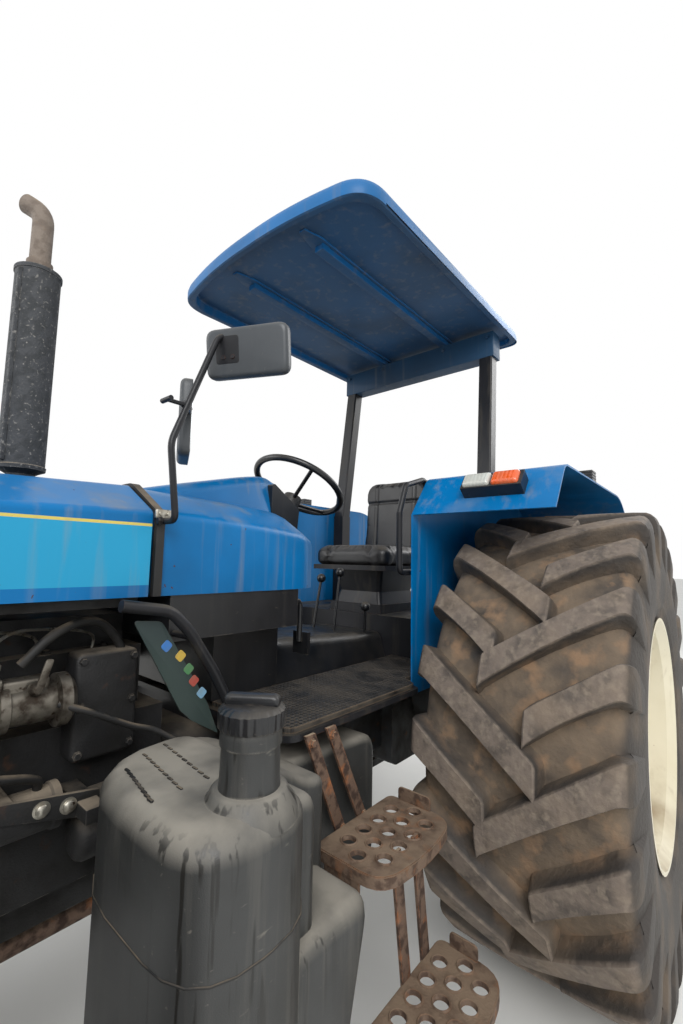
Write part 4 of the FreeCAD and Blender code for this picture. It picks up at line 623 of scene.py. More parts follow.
def make_tyre(name, body, node_name, x, y, radius, width, rim_radius, bead_half, lug_height, lug_width, lugs):
    """A tractor tyre: a closed carcass ring, and on each side slanted lugs that run down its shoulder.

    The carcass is a profile spun about the axle. A lug is a section carried outwards from the middle:
    each point is foot + h * (top - foot), with h from 0 at its foot to 1 on top, turned about the axle by
    its way round. It lags behind by LUG_SLOPE times its way out, and its sides spread towards the foot.
    """
    half = width / 2.0
    floor = radius - lug_height
    bead = rim_radius - 22.0
    wall = bead + 0.45 * (floor - bead)
    outer = smooth_line([
        (bead_half, bead), (bead_half + 12.0, bead + 30.0), (half - 12.0, bead + 80.0), (half - 3.0, wall),
        (half - 6.0, wall + 0.35 * (floor - wall)), (half - 24.0, floor - 36.0), (half - 62.0, floor - 12.0),
        (half * 0.5, floor - 4.0), (0.0, floor),
    ], 44)
    ridge = 3.5 * np.exp(-((outer[:, 1] - bead - 62.0) / 5.0) ** 2)
    ridge += 2.0 * np.exp(-((outer[:, 1] - wall - 18.0) / 4.0) ** 2)
    outer[:, 0] = np.minimum(outer[:, 0] + ridge, half)
    inner = smooth_line([
        (0.0, floor - 30.0), (half - 80.0, floor - 50.0), (half - 32.0, wall), (bead_half - 22.0, bead + 6.0),
        (bead_half, bead),
    ], 12)[:-1]
    profile = np.concatenate([outer * (-1.0, 1.0), outer[-2::-1], inner[::-1] * (1.0, 1.0), inner[1:] * (-1.0, 1.0)])
    carcass = lathe(profile, [(x, y, radius)], (1.0, 0.0, 0.0), sides=160, closed=True)

    side = np.repeat((-1.0, 1.0), lugs)
    i = np.tile(np.arange(lugs), 2)
    is_long = (i % 2 == 0) == (side > 0)
    top_inner = np.where(is_long, -0.143 * width, 0.082 * width)
    top_outer = half - 30.0
    middle = (top_inner + top_outer) / 2.0
    lean = (top_outer - middle) * LUG_SLOPE / radius
    turn = 2.0 * math.pi * i / lugs + lean + np.where(side < 0.0, math.radians(LUG_STAGGER_DEG), 0.0)
    short = lugs + 1
    reach = (top_outer - middle[short]) * LUG_SLOPE + lug_width / 2.0
    top = math.sqrt(radius ** 2 - reach ** 2)
    turn = turn + math.pi - turn[short] - math.atan2(reach, top)

    # Rows along the lug: X and radius of its top, X and radius of its foot, widening, wear. X counts
    # from the inner end for the first three rows, and from the tyre's side for the others.
    rows = smooth_line([
        (-9.0, floor - 3.0, -12.0, floor - 14.0, 0.86, 0.0), (0.0, radius - 5.0, -10.0, floor - 14.0, 1.04, 0.9),
        (14.0, radius - 0.5, 0.0, floor - 14.0, 1.02, 1.0), (-140.0, radius - 0.5, -140.0, floor - 20.0, 0.94, 1.0),
        (-30.0, radius - 3.5, -50.0, floor - 30.0, 1.04, 1.0), (-12.0, radius - 20.0, -40.0, floor - 50.0, 1.12, 0.9),
        (-3.0, radius - 46.0, -34.0, floor - 66.0, 1.18, 0.55), (-0.5, radius - 90.0, -28.0, radius - 104.0, 1.16, 0.25),
        (-3.0, wall + 38.0, -24.0, wall + 34.0, 1.0, 0.05), (-14.0, wall + 16.0, -22.0, wall + 16.0, 0.8, 0.0),
    ], 26)
    share = np.clip((np.linspace(0.0, 9.0, 26) - 2.0), 0.0, 1.0)[None, :]
    from_inner = top_inner[:, None] + np.stack([rows[:, 0]] * len(side))
    from_side = half + np.stack([rows[:, 0]] * len(side))
    way = np.linspace(0.0, 9.0, 26)[None, :]
    start = top_inner[:, None] + np.interp(way, (0.0, 1.0, 2.0), (-9.0, 0.0, 14.0))
    end = half + np.interp(way, (4.0, 5.0, 6.0, 7.0, 8.0, 9.0), (-30.0, -12.0, -3.0, -0.5, -3.0, -14.0))
    blend = np.clip((way - 2.0) / 2.0, 0.0, 1.0)
    top_x = np.where(way < 2.0, start, np.where(way > 4.0, end, start * (1.0 - blend) + end * blend))
    foot_x = np.minimum(top_x - np.interp(way, (0.0, 2.0, 4.0, 5.0, 9.0), (3.0, 10.0, 20.0, 27.0, 8.0)), half - 22.0)
    top_r, foot_r, widening, wear = (rows[:, k][None, :] for k in (1, 3, 4, 5))

    # Columns across the lug: half widths from the middle, spread at the foot, and height
    half_top = lug_width / 2.0 - 3.0
    across = np.array([
        (-half_top - 3.0, -13.0, 0.0), (-half_top - 3.0, -5.0, 0.6), (-half_top - 2.5, -1.0, 0.93),
        (-half_top, 0.0, 1.0), (-half_top / 3.0, 0.0, 1.0), (half_top / 3.0, 0.0, 1.0), (half_top, 0.0, 1.0),
        (half_top + 2.5, 1.0, 0.93), (half_top + 3.0, 5.0, 0.6), (half_top + 3.0, 13.0, 0.0),
    ])
    h = across[None, None, :, 2]
    px = foot_x[..., None] + h * (top_x - foot_x)[..., None]
    pr = foot_r[..., None] + h * (top_r - foot_r)[..., None]
    sideways = across[None, None, :, 0] * widening[..., None] + across[None, None, :, 1]
    bow = 20.0 * np.sin(np.clip(way / 5.0, 0.0, 1.0) * math.pi)
    round_by = ((np.minimum(top_x, half - 12.0) - middle[:, None]) * LUG_SLOPE + bow)[..., None] + sideways
    angle = turn[:, None, None] - round_by / radius
    points = np.stack([
        x + side[:, None, None] * px, y - pr * np.sin(angle), radius + pr * np.cos(angle),
    ], axis=-1)
    lug_patch = patch(at(points))
    # The sidewall and the lugs' ends on it count as middle height, neither soiled nor rubbed
    past = np.clip((way - 4.6) / 1.6, 0.0, 1.0)[..., None]
    lug_heights = (1.0 - past) * h * wear[..., None] + past * SIDEWALL_HEIGHT
    wall_heights = SIDEWALL_HEIGHT * np.clip((floor - 16.0 - profile[:, 1]) / 24.0, 0.0, 1.0)
    heights = np.concatenate([np.repeat(wall_heights, 160), np.broadcast_to(lug_heights, angle.shape).ravel()])
    tyre = piece(name, [carcass, lug_patch], body, TYRE, 38.0, heights)
    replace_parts(tyre, node_name)


for name, side in (("left", 1.0), ("right", -1.0)):
    make_tyre("rear_tread_" + name, "rear_wheel_" + name, "rear_tyre_" + name, side * 880.0, 0.0,
              790.0, 587.0, 408.0, 255.0, 52.0, 86.0, 22)
    make_tyre("front_tread_" + name, "front_wheel_" + name, "front_tyre_" + name, side * 840.0, -2440.0,
              632.0, 378.0, 318.0, 155.0, 40.0, 62.0, 18)


# Fuel tank, its neck and cap

TANK_FRONT, TANK_REAR = -1640.0, -1383.0
TANK_LOW, TANK_TOP = 460.0, 995.0
TANK_INNER, TANK_OUTER = 385.0, 815.0
tank_parts = [
    block([(TANK_INNER, TANK_FRONT, 185.0), (TANK_OUTER, TANK_FRONT, 120.0), (TANK_OUTER, TANK_REAR, 120.0),
           (TANK_INNER, TANK_REAR, 50.0)], "z", TANK_LOW, TANK_TOP, (30.0, 46.0), 7),
    block([(TANK_REAR - 60.0, TANK_LOW, 0.0), (TANK_REAR - 60.0, 740.0, 0.0), (-1210.0, 740.0, 50.0),
           (-1290.0, TANK_LOW, 50.0)], "x", TANK_INNER, TANK_OUTER - 25.0, (20.0, 34.0), 6),
    block([(TANK_REAR - 70.0, 700.0, 0.0), (TANK_REAR - 70.0, 965.0, 0.0), (-1350.0, 965.0, 40.0),
           (-1350.0, 700.0, 0.0)], "x", 545.0, TANK_OUTER - 50.0, (20.0, 26.0), 6),
    block([(TANK_REAR - 50.0, 480.0, 0.0), (TANK_REAR - 50.0, 975.0, 0.0), (-1352.0, 973.0, 60.0),
           (-1254.0, 911.0, 30.0), (-1205.0, 908.0, 20.0), (-1205.0, 480.0, 30.0)],
          "x", TANK_INNER, 650.0, (16.0, 22.0), 6),
    block([(-1245.0, 530.0, 20.0), (-1245.0, 905.0, 20.0), (-860.0, 880.0, 50.0), (-860.0, 530.0, 50.0)],
          "x", TANK_INNER, 535.0, (16.0, 22.0), 6),
]
# The neck: a plain tube on a round flange, with the screw thread's collar under the cap
neck_z = TANK_TOP
tank_parts += [
    lathe([(-30.0, 0.0), (-30.0, 84.0), (-8.0, 78.0), (4.0, 68.0), (12.0, 64.0), (16.0, 58.0), (16.0, 0.0)],
          [NECK + (neck_z,)], (0, 0, 1), 48),
    lathe([(10.0, 0.0), (10.0, 52.0), (30.0, 50.0), (88.0, 49.0), (92.0, 0.0)], [NECK + (neck_z,)], (0, 0, 1), 48),
    lathe([(84.0, 0.0), (84.0, 52.0), (100.0, 52.0), (110.0, 50.0), (110.0, 0.0)], [NECK + (neck_z,)], (0, 0, 1), 48),
]
tank = piece("tank_body", tank_parts, "chassis", TANK, 40.0)
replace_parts(tank, "fuel_tank")

seam = block([(TANK_INNER - 1.5, TANK_FRONT - 1.5, 186.5), (TANK_OUTER + 1.5, TANK_FRONT - 1.5, 121.5),
              (TANK_OUTER + 1.5, TANK_REAR + 1.5, 121.5), (TANK_INNER - 1.5, TANK_REAR + 1.5, 51.5)],
             "z", 807.0, 811.0, (1.8, 1.8), 7)
dash_rows = []
for row, first_x in enumerate((500.0, 462.0, 446.0)):
    for share in np.linspace(0.0, 1.0, 9):
        px = first_x + (628.0 - first_x) * share
        py = -1585.0 + 52.0 * row - 22.0 * share
        dash_rows.append(block(oblong(px - 8.0, px + 8.0, py - 2.5, py + 2.5, 2.0), "z", TANK_TOP - 2.0,
                               TANK_TOP + 2.2, (1.0, 1.5), 3))
piece("tank_seam", [seam] + dash_rows, "chassis", RUBBER, 40.0)

cap = [
    lathe([(0.0, 0.0), (0.0, 54.0), (4.0, 56.0), (28.0, 56.0), (34.0, 50.0), (36.0, 40.0), (36.0, 0.0)],
          [NECK + (neck_z + 110.0,)], (0, 0, 1), 144, False, 24, 0.018),
    turned(block(oblong(NECK[0] - 48.0, NECK[0] + 48.0, neck_z + 140.0, neck_z + 162.0, 12.0), "y",
                 NECK[1] - 12.0, NECK[1] + 12.0, (6.0, 6.0)), [("Z", 35.0)], NECK + (neck_z,)),
]
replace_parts(piece("tank_cap", cap, "chassis", PLASTIC, 40.0), "filler_cap")


# Cowl behind the hood

# Columns: Y, half width, height of the crease, half width of the top, height of the top
COWL_ROWS = [
    (-1452.0, 330.0, 1490.0, 190.0, 1566.0), (-1220.0, 329.0, 1480.0, 196.0, 1557.0),
    (-990.0, 326.0, 1460.0, 200.0, 1542.0), (-905.0, 296.0, 1442.0, 186.0, 1494.0),
]
# Columns: Y, half width at the foot, half width and height of the top
HUMP_ROWS = [
    (-1452.0, 186.0, 176.0, 1563.0), (-1245.0, 184.0, 150.0, 1616.0), (-989.0, 180.0, 118.0, 1675.0),
    (-905.0, 172.0, 105.0, 1666.0),
]
COWL_LOW = 1292.0


def cowl_section(half, crease, top_half, top):
    """The cowl's outline: upright sides to a crease, sloping shoulders and a level top."""
    return outline([(half, COWL_LOW, 0.0), (half, crease, 20.0), (top_half, top, 46.0),
                    (-top_half, top, 46.0), (-half, crease, 20.0), (-half, COWL_LOW, 0.0)], 8)


def hump_section(foot_half, top_half, top):
    """The hump's outline: leaning sides and a rounded top."""
    return outline([(foot_half, 1410.0, 0.0), (top_half, top, 40.0), (-top_half, top, 40.0),
                    (-foot_half, 1410.0, 0.0)], 8)


cowl_rows = smooth_line(COWL_ROWS, 16)
hump_rows = smooth_line(HUMP_ROWS, 16)
cowl_skin = piece("cowl_skin", [
    stacked([cowl_section(*row[1:]) for row in cowl_rows], "y", cowl_rows[:, 0]),
    stacked([hump_section(*row[1:]) for row in hump_rows], "y", hump_rows[:, 0]),
], "chassis", BODY_BLUE, 28.0)
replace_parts(cowl_skin, "cowl")


# Roof

ROOF_HALF, ROOF_FRONT, ROOF_REAR = 547.0, -1019.0, 424.0
# Columns: inset from the outline, height. From the pocket's ceiling down its wall, round the rim,
# up the outer wall and over the edge.
ROOF_ROWS = [
    (34.0, 2610.0), (30.0, 2606.0), (29.0, 2570.0), (25.0, 2565.0), (6.0, 2565.0), (1.0, 2569.0), (0.0, 2576.0),
    (0.0, 2604.0), (4.0, 2620.0), (12.0, 2632.0), (26.0, 2641.0), (60.0, 2645.0),
]


def roof_outline(inset):
    """The roof's outline with its bowed front, made smaller by an inset."""
    half = ROOF_HALF - inset
    side = [(half, ROOF_REAR - inset, 60.0), (half, ROOF_FRONT + 60.0 + inset, 110.0),
            (0.4 * ROOF_HALF, ROOF_FRONT + inset, 180.0)]
    return outline(side + [(-u, v, cut) for u, v, cut in side[::-1]], 12)


roof_shell = stacked([roof_outline(inset) for inset, z in ROOF_ROWS], "z", [z for inset, z in ROOF_ROWS])
# The rim hangs 16 mm lower over the front two thirds
rise = np.clip((roof_shell[0][:, 1] - AXLE_Y + 0.290) / 0.060, 0.0, 1.0) * 16.0 * MM
roof_shell[0][:, 2] += np.where(roof_shell[0][:, 2] < 2.572, rise, 0.0)
rib_parts = []
for x in (-205.0, 205.0):
    rib_parts.append(block([(x - 34.0, -829.0, 4.0), (x - 14.0, -909.0, 4.0), (x + 14.0, -909.0, 4.0),
                            (x + 34.0, -829.0, 4.0), (x + 34.0, 354.0, 0.0), (x - 34.0, 354.0, 0.0)],
                           "z", 2602.0, 2612.0, (3.0, 1.0)))
    rib_parts.append(block(oblong(x - 22.0, x + 22.0, -815.0, 354.0, 4.0), "z", 2578.0, 2606.0, (4.0, 1.0)))
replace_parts(piece("roof", [roof_shell] + rib_parts, "chassis", ROOF_BLUE, 30.0), "canopy")
# The beam's dark blue-grey finish is painted shade.
roof_beam = [block(oblong(-490.0, 490.0, 195.0, 285.0, 4.0), "z", 2446.0, 2579.0, (2.0, 2.0)),
             bolts([(x, 195.0, 2550.0) for x in (-460.0, -205.0, 205.0, 460.0)], (0, -1, 0), 9.0)]
piece("roof_beam", roof_beam, "chassis", SHADED_BEAM_BLUE)


# Muffler and outlet pipe

MUFFLER = (-110.0, -1640.0)
muffler_parts = [
    lathe([(1060.0, 0.0), (1060.0, 34.0), (1600.0, 34.0), (1606.0, 44.0), (1612.0, 58.0), (1622.0, 59.0),
           (1624.0, 56.0), (2172.0, 56.0), (2174.0, 59.0), (2184.0, 59.0), (2188.0, 52.0), (2192.0, 34.0),
           (2192.0, 0.0)], [MUFFLER + (0.0,)], (0, 0, 1), 40),
    # The rolled seam down the barrel, and its spot welds
    block(oblong(MUFFLER[0] + 20.0, MUFFLER[0] + 34.0, 1630.0, 2168.0, 3.0), "y", MUFFLER[1] - 56.0,
          MUFFLER[1] - 46.0, (2.0, 0.5)),
    lathe([(0.0, 0.0), (0.0, 4.0), (1.5, 2.5), (1.8, 0.0)],
          np.stack([np.full(14, MUFFLER[0] + 27.0), np.full(14, MUFFLER[1] - 56.0), np.linspace(1650, 2150, 14)], 1),
          (0, -1, 0), 8),
]
pipe_line = bent([MUFFLER + (2170.0,), MUFFLER + (2368.0,), (-146.0, -1676.0, 2398.0)], 34.0)
pipe_parts = [swept(pipe_line, circle(27.0, 28), False),
              swept(pipe_line[::-1], circle(24.0, 28), False),
              lathe([(0.0, 26.0), (0.0, 33.0), (26.0, 33.0), (26.0, 26.0)], [MUFFLER + (2190.0,)], (0, 0, 1), 28)]
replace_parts(piece("muffler_barrel", muffler_parts, "chassis", EXHAUST), "muffler")
piece("outlet_pipe", pipe_parts, "chassis", PIPE)


# Steps

def pierced(part, cutters):
    """A plate with holes: the cutters' solid taken from the plate's by Blender's exact difference."""
    made = []
    for shape in (part, cutters):
        mesh = bpy.data.meshes.new("blank")
        mesh.from_pydata(shape[0].tolist(), [], shape[1].tolist())
        shell = bmesh.new()
        shell.from_mesh(mesh)
        bmesh.ops.remove_doubles(shell, verts=shell.verts, dist=1e-6)
        bmesh.ops.recalc_face_normals(shell, faces=shell.faces)
        shell.to_mesh(mesh)
        shell.free()
        blank = bpy.data.objects.new("blank", mesh)
        bpy.context.scene.collection.objects.link(blank)
        made.append(blank)
    cut = made[0].modifiers.new("holes", "BOOLEAN")
    cut.object = made[1]
    cut.operation = "DIFFERENCE"
    cut.solver = "EXACT"
    result = bpy.data.meshes.new_from_object(made[0].evaluated_get(bpy.context.evaluated_depsgraph_get()))
    shell = bmesh.new()
    shell.from_mesh(result)
    bmesh.ops.triangulate(shell, faces=shell.faces)
    points = np.array([vert.co for vert in shell.verts])
    faces = np.array([[vert.index for vert in face.verts] for face in shell.faces])
    shell.free()
    for blank in made:
        bpy.data.objects.remove(blank)
    return points, faces


# Columns: inner and outer X, height of the tread
STEP_ROWS = [(578.0, 795.0, 715.0), (735.0, 925.0, 415.0)]
STEP_FRONT, STEP_REAR = -1160.0, -845.0
HOLE_RADIUS = 19.0
# Columns: place across the tread, holes in the row
HOLE_ROWS = [(-52.0, 4), (0.0, 5), (52.0, 4)]


def make_step(inner, outer, z):
    """One tread: a tray turned down all round, pierced by rows of holes with raised rims."""
    middle = (STEP_FRONT + STEP_REAR) / 2.0
    pitch = (STEP_REAR - STEP_FRONT) / 5.2
    centre = (inner + outer) / 2.0 - 8.0
    corners = [(inner, STEP_FRONT, 20.0), (inner, STEP_REAR, 20.0), (outer - 25.0, STEP_REAR, 60.0),
               (outer, middle, 90.0), (outer - 25.0, STEP_FRONT, 60.0)]
    places = np.array([(centre + across, middle + (i - (count - 1) / 2.0) * pitch, z - 60.0)
                       for across, count in HOLE_ROWS for i in range(count)])
    sheet = block(corners, "z", z - 7.0, z, (0.6, 0.6), 2)
    holes = lathe([(0.0, 0.0), (0.0, HOLE_RADIUS), (120.0, HOLE_RADIUS), (120.0, 0.0)], places, (0, 0, 1), 20)
    rims = lathe([(0.0, HOLE_RADIUS - 1.5), (2.5, HOLE_RADIUS - 0.5), (3.2, HOLE_RADIUS + 1.0),
                  (0.4, HOLE_RADIUS + 3.5), (-9.0, HOLE_RADIUS + 1.0), (-9.0, HOLE_RADIUS - 1.5)], places + (0.0, 0.0, 60.0), (0, 0, 1), 20, True)
    edge = outline(corners)
    wall = np.stack([np.concatenate([edge, [edge[0]]])[:, 0], np.concatenate([edge, [edge[0]]])[:, 1],
                     np.full(len(edge) + 1, z - 14.0)], axis=1)
    lip = swept(wall, [(-3.0, -12.0), (3.0, -12.0), (3.0, 12.0), (-3.0, 12.0)], False, np.array((0, 0, 1.0)))
    flap = block(oblong(inner + 30.0, outer - 85.0, z - 4.0, z + 34.0, 12.0), "y", STEP_REAR - 6.0, STEP_REAR, (1, 1))
    front_flap = block(oblong(inner + 30.0, outer - 85.0, z - 58.0, z - 4.0, 12.0), "y", STEP_FRONT,
                       STEP_FRONT + 6.0, (1, 1))
    return [pierced(sheet, holes), rims, lip, flap, front_flap]


step_parts = make_step(*STEP_ROWS[0]) + make_step(*STEP_ROWS[1])
bar_parts = []
bolt_places = []
for rim_y, y in ((-1176.0, -1049.0), (-1101.0, -961.0)):
    bar_parts.append(block([(rim_y - 17.0, 965.0, 0.0), (rim_y + 17.0, 965.0, 0.0), (y + 17.0, 690.0, 0.0),
                            (y - 17.0, 690.0, 0.0)], "x", 562.0, 570.0, (1.0, 1.0)))
    bar_parts.append(block([(y - 17.0, 713.0, 0.0), (y + 17.0, 713.0, 0.0), (y + 67.0, 389.0, 0.0),
                            (y + 33.0, 389.0, 0.0)], "x", 727.0, 735.0, (1.0, 1.0)))
    bolt_places += [(570.0, rim_y + 6.0, 945.0), (570.0, y, 704.0), (735.0, y + 2.0, 700.0), (735.0, y + 48.0, 404.0)]
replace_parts(piece("step_treads", step_parts, "chassis", STEP_STEEL, 24.0), "steps")
piece("step_hangers", bar_parts + [bolts(bolt_places, (1, 0, 0), 9.0)], "chassis", RUSTY)


# Side shield with its blank coloured patches, and its tube

SHIELD_X = 402.0
shield_plate = block([(-1546.0, 1250.0, 12.0), (-1482.0, 1244.0, 12.0), (-1355.0, 1042.0, 0.0),
                      (-1323.0, 967.0, 6.0), (-1398.0, 1015.0, 0.0), (-1427.0, 1043.0, 0.0)],
                     "x", SHIELD_X - 2.5, SHIELD_X + 2.5, (1.0, 1.0))
shield_tube = bent([(417.0, -1579.0, 1284.0), (417.0, -1470.0, 1266.0), (417.0, -1423.0, 1220.0),
                    (417.0, -1351.0, 1116.0), (417.0, -1304.0, 1031.0), (417.0, -1268.0, 963.0),
                    (417.0, -1236.0, 963.0)], 22.0)
shield_stay = swept([(324.0, -1405.0, 1200.0), (370.0, -1405.0, 1200.0), (417.0, -1405.0, 1200.0)], circle(8.0))
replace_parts(piece("shield_plate", [shield_plate], "chassis", SHIELD), "side_shield")
piece("shield_tube", [swept(shield_tube, circle(13.0, 16)), shield_stay], "chassis", BLACK)
PATCHES = [("blue", "2f6fb5", -1468.0, 1189.0), ("yellow", "c9a83a", -1433.0, 1163.0),
           ("green", "3f7a4a", -1411.0, 1131.0), ("red", "a5382c", -1396.0, 1102.0),
           ("light blue", "6fa3c4", -1374.0, 1071.0)]
for name, colour, y, z in PATCHES:
    material, tree, shader, place = new_material(name + " printed vinyl")
    coat(tree, shader, colour, 0.4, [(both_of(tree, cloud(tree, place, 30.0, 0.4, 0.7), 0.5), "75705f", 0.7)])
    piece("patch_" + name.replace(" ", "_"),
          [block([(y - 15.0, z, 6.0), (y, z + 15.0, 6.0), (y + 15.0, z, 6.0), (y, z - 15.0, 6.0)], "x",
                 SHIELD_X + 2.0, SHIELD_X + 3.5, (0.3, 0.3), 2)], "chassis", material)


# Mirrors on the left arm

MIRROR_FOOT = (337.0, -1462.0, 1468.0)


def mirror_plate(width, height, thickness, cut, turn_deg, lean_deg, middle, edge):
    """A rounded plate turned about Z, its top leaning forwards, round a middle."""
    x, y, z = middle
    flat = block(oblong(x - width / 2.0, x + width / 2.0, z - height / 2.0, z + height / 2.0, cut), "y",
                 y - thickness / 2.0, y + thickness / 2.0, (edge, 2.0), 5)
    return turned(flat, [("X", lean_deg), ("Z", turn_deg)], middle)


arm_line = bent([MIRROR_FOOT, (400.0, -1462.0, 1468.0), (400.0, -1484.0, 1646.0), (400.0, -1372.0, 1945.0),
                 (400.0, -1336.0, 1952.0)], 20.0)
head_middle = (452.0, -1320.0, 1907.0)
second_middle = (295.0, -1393.0, 1732.0)
arm_parts = [
    swept(arm_line, circle(8.0, 16)),
    mirror_plate(64.0, 70.0, 6.0, 8.0, 25.0, 9.0, (412.0, -1352.0, 1912.0), 1.0),
    swept([(355.0, -1425.0, 1742.0), (380.0, -1436.0, 1742.0), (402.0, -1452.0, 1742.0)], circle(12.0)),
    swept([(400.0, -1450.0, 1742.0), (400.0, -1475.0, 1742.0), (400.0, -1500.0, 1742.0)], circle(5.0)),
    swept([(380.0, -1500.0, 1742.0), (400.0, -1500.0, 1742.0), (420.0, -1500.0, 1742.0)], circle(6.0)),
    bolts([(400.0, -1355.0, 1930.0), (424.0, -1345.0, 1930.0), (400.0, -1352.0, 1892.0), (424.0, -1342.0, 1892.0)],
          (0.42, -0.9, 0.1), 6.0),
    bolts([(350.0, -1470.0, 1468.0)], (0, -1, 0), 9.0),
]
arms = piece("mirror_arm", arm_parts, "chassis", BLACK)
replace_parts(arms, "mirrors")
piece("mirror_shells", [mirror_plate(228.0, 128.0, 26.0, 25.0, 25.0, 9.0, head_middle, 12.0),
                        mirror_plate(150.0, 200.0, 30.0, 25.0, -29.4, 0.0, second_middle, 13.0)],
      "chassis", SHELL, 40.0)


def behind(middle, distance, turn_deg):
    """A place behind a mirror's middle, along the way it faces."""
    angle = math.radians(turn_deg)
    return middle[0] - math.sin(angle) * distance, middle[1] + math.cos(angle) * distance, middle[2]


piece("mirror_glasses", [
    mirror_plate(208.0, 108.0, 3.0, 18.0, 25.0, 9.0, behind(head_middle, 13.0, 25.0), 0.5),
    mirror_plate(132.0, 182.0, 3.0, 18.0, -29.4, 0.0, behind(second_middle, 15.0, -29.4), 0.5),
], "chassis", GLASS, 40.0)


# Seat cushions, swelled by cloth simulation


def swelled(name, start, cap_mm, replaced, seams):
    """A cushion: its starting block is remeshed, blown up as cloth with no weight, and capped in its move."""
    blank = piece(name, [start], "chassis", VINYL, 60.0)
    remesh = blank.modifiers.new("remesh", "REMESH")
    remesh.mode = "VOXEL"
    remesh.voxel_size = 6.0 * MM
    depsgraph = bpy.context.evaluated_depsgraph_get()
    mesh = bpy.data.meshes.new_from_object(blank.evaluated_get(depsgraph))
    blank.modifiers.clear()
    blank.data = mesh
    before = np.empty(len(mesh.vertices) * 3)
    mesh.vertices.foreach_get("co", before)
    cloth = blank.modifiers.new("cloth", "CLOTH")
    cloth.settings.use_pressure = True
    cloth.settings.uniform_pressure_force = 4.0
    cloth.settings.effector_weights.gravity = 0.0
    cloth.point_cache.frame_start = 1
    cloth.point_cache.frame_end = 20
    scene = bpy.context.scene
    for step in range(1, 21):
        scene.frame_set(step)
    swollen = bpy.data.meshes.new_from_object(blank.evaluated_get(bpy.context.evaluated_depsgraph_get()))
    blank.modifiers.clear()
    after = np.empty(len(swollen.vertices) * 3)
    swollen.vertices.foreach_get("co", after)
    move = (after - before).reshape(-1, 3)
    length = np.linalg.norm(move, axis=1, keepdims=True)
    move *= np.minimum(1.0, cap_mm * MM / np.maximum(length, 1e-9))
    points = before.reshape(-1, 3) + move
    points = seams(points)
    swollen.vertices.foreach_set("co", points.ravel())
    swollen.polygons.foreach_set("use_smooth", np.ones(len(swollen.polygons), dtype=bool))
    swollen.materials.clear()
    swollen.materials.append(VINYL)
    swollen.update()
    blank.data = swollen
    scene.frame_set(1)
    finer = blank.modifiers.new("finer", "SUBSURF")
    finer.levels = 1
    finer.render_levels = 1
    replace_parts(blank, replaced)


def channel(points, axis, places, width, depth, out):
    """Sewn channels: points near a line across an axis sink by a bell curve, against the way out."""
    moved = points.copy()
    for place in places:
        near = np.exp(-((points[:, axis] - place) / width) ** 2)
        moved -= near[:, None] * depth * np.asarray(out)
    return moved


def cushion_seams(points):
    """Two channels along the seat and one across its front, sunk from above."""
    top = points[:, 2] > 1.41
    sunk = channel(points, 0, (-0.12, 0.12), 0.007, 0.009, (0, 0, 1.0))
    sunk = channel(sunk, 1, (AXLE_Y - 0.30,), 0.007, 0.008, (0, 0, 1.0))
    return np.where(top[:, None], sunk, points)


def back_seams(points):
    """Two upright channels and one level one, sunk from the front."""
    front = points[:, 1] < AXLE_Y + 0.075
    sunk = channel(points, 0, (-0.12, 0.12), 0.007, 0.009, (0, -1.0, 0))
    sunk = channel(sunk, 2, (1.70,), 0.007, 0.008, (0, -1.0, 0))
    return np.where(front[:, None], sunk, points)


swelled("seat_pad", block([(-222.0, -372.0, 60.0), (222.0, -372.0, 60.0), (218.0, 4.0, 40.0), (-218.0, 4.0, 40.0)],
                          "z", 1366.0, 1440.0, (14.0, 26.0), 6), 16.0, "seat_cushion", cushion_seams)
back_block = block([(-222.0, 1392.0, 40.0), (222.0, 1392.0, 40.0), (222.0, 1828.0, 90.0), (-222.0, 1828.0, 90.0)],
                   "y", 46.0, 112.0, (24.0, 14.0), 6)
swelled("back_pad", turned(back_block, [("X", -3.0)], (0.0, 80.0, 1600.0)), 16.0, "seat_back", back_seams)


# Engine bay

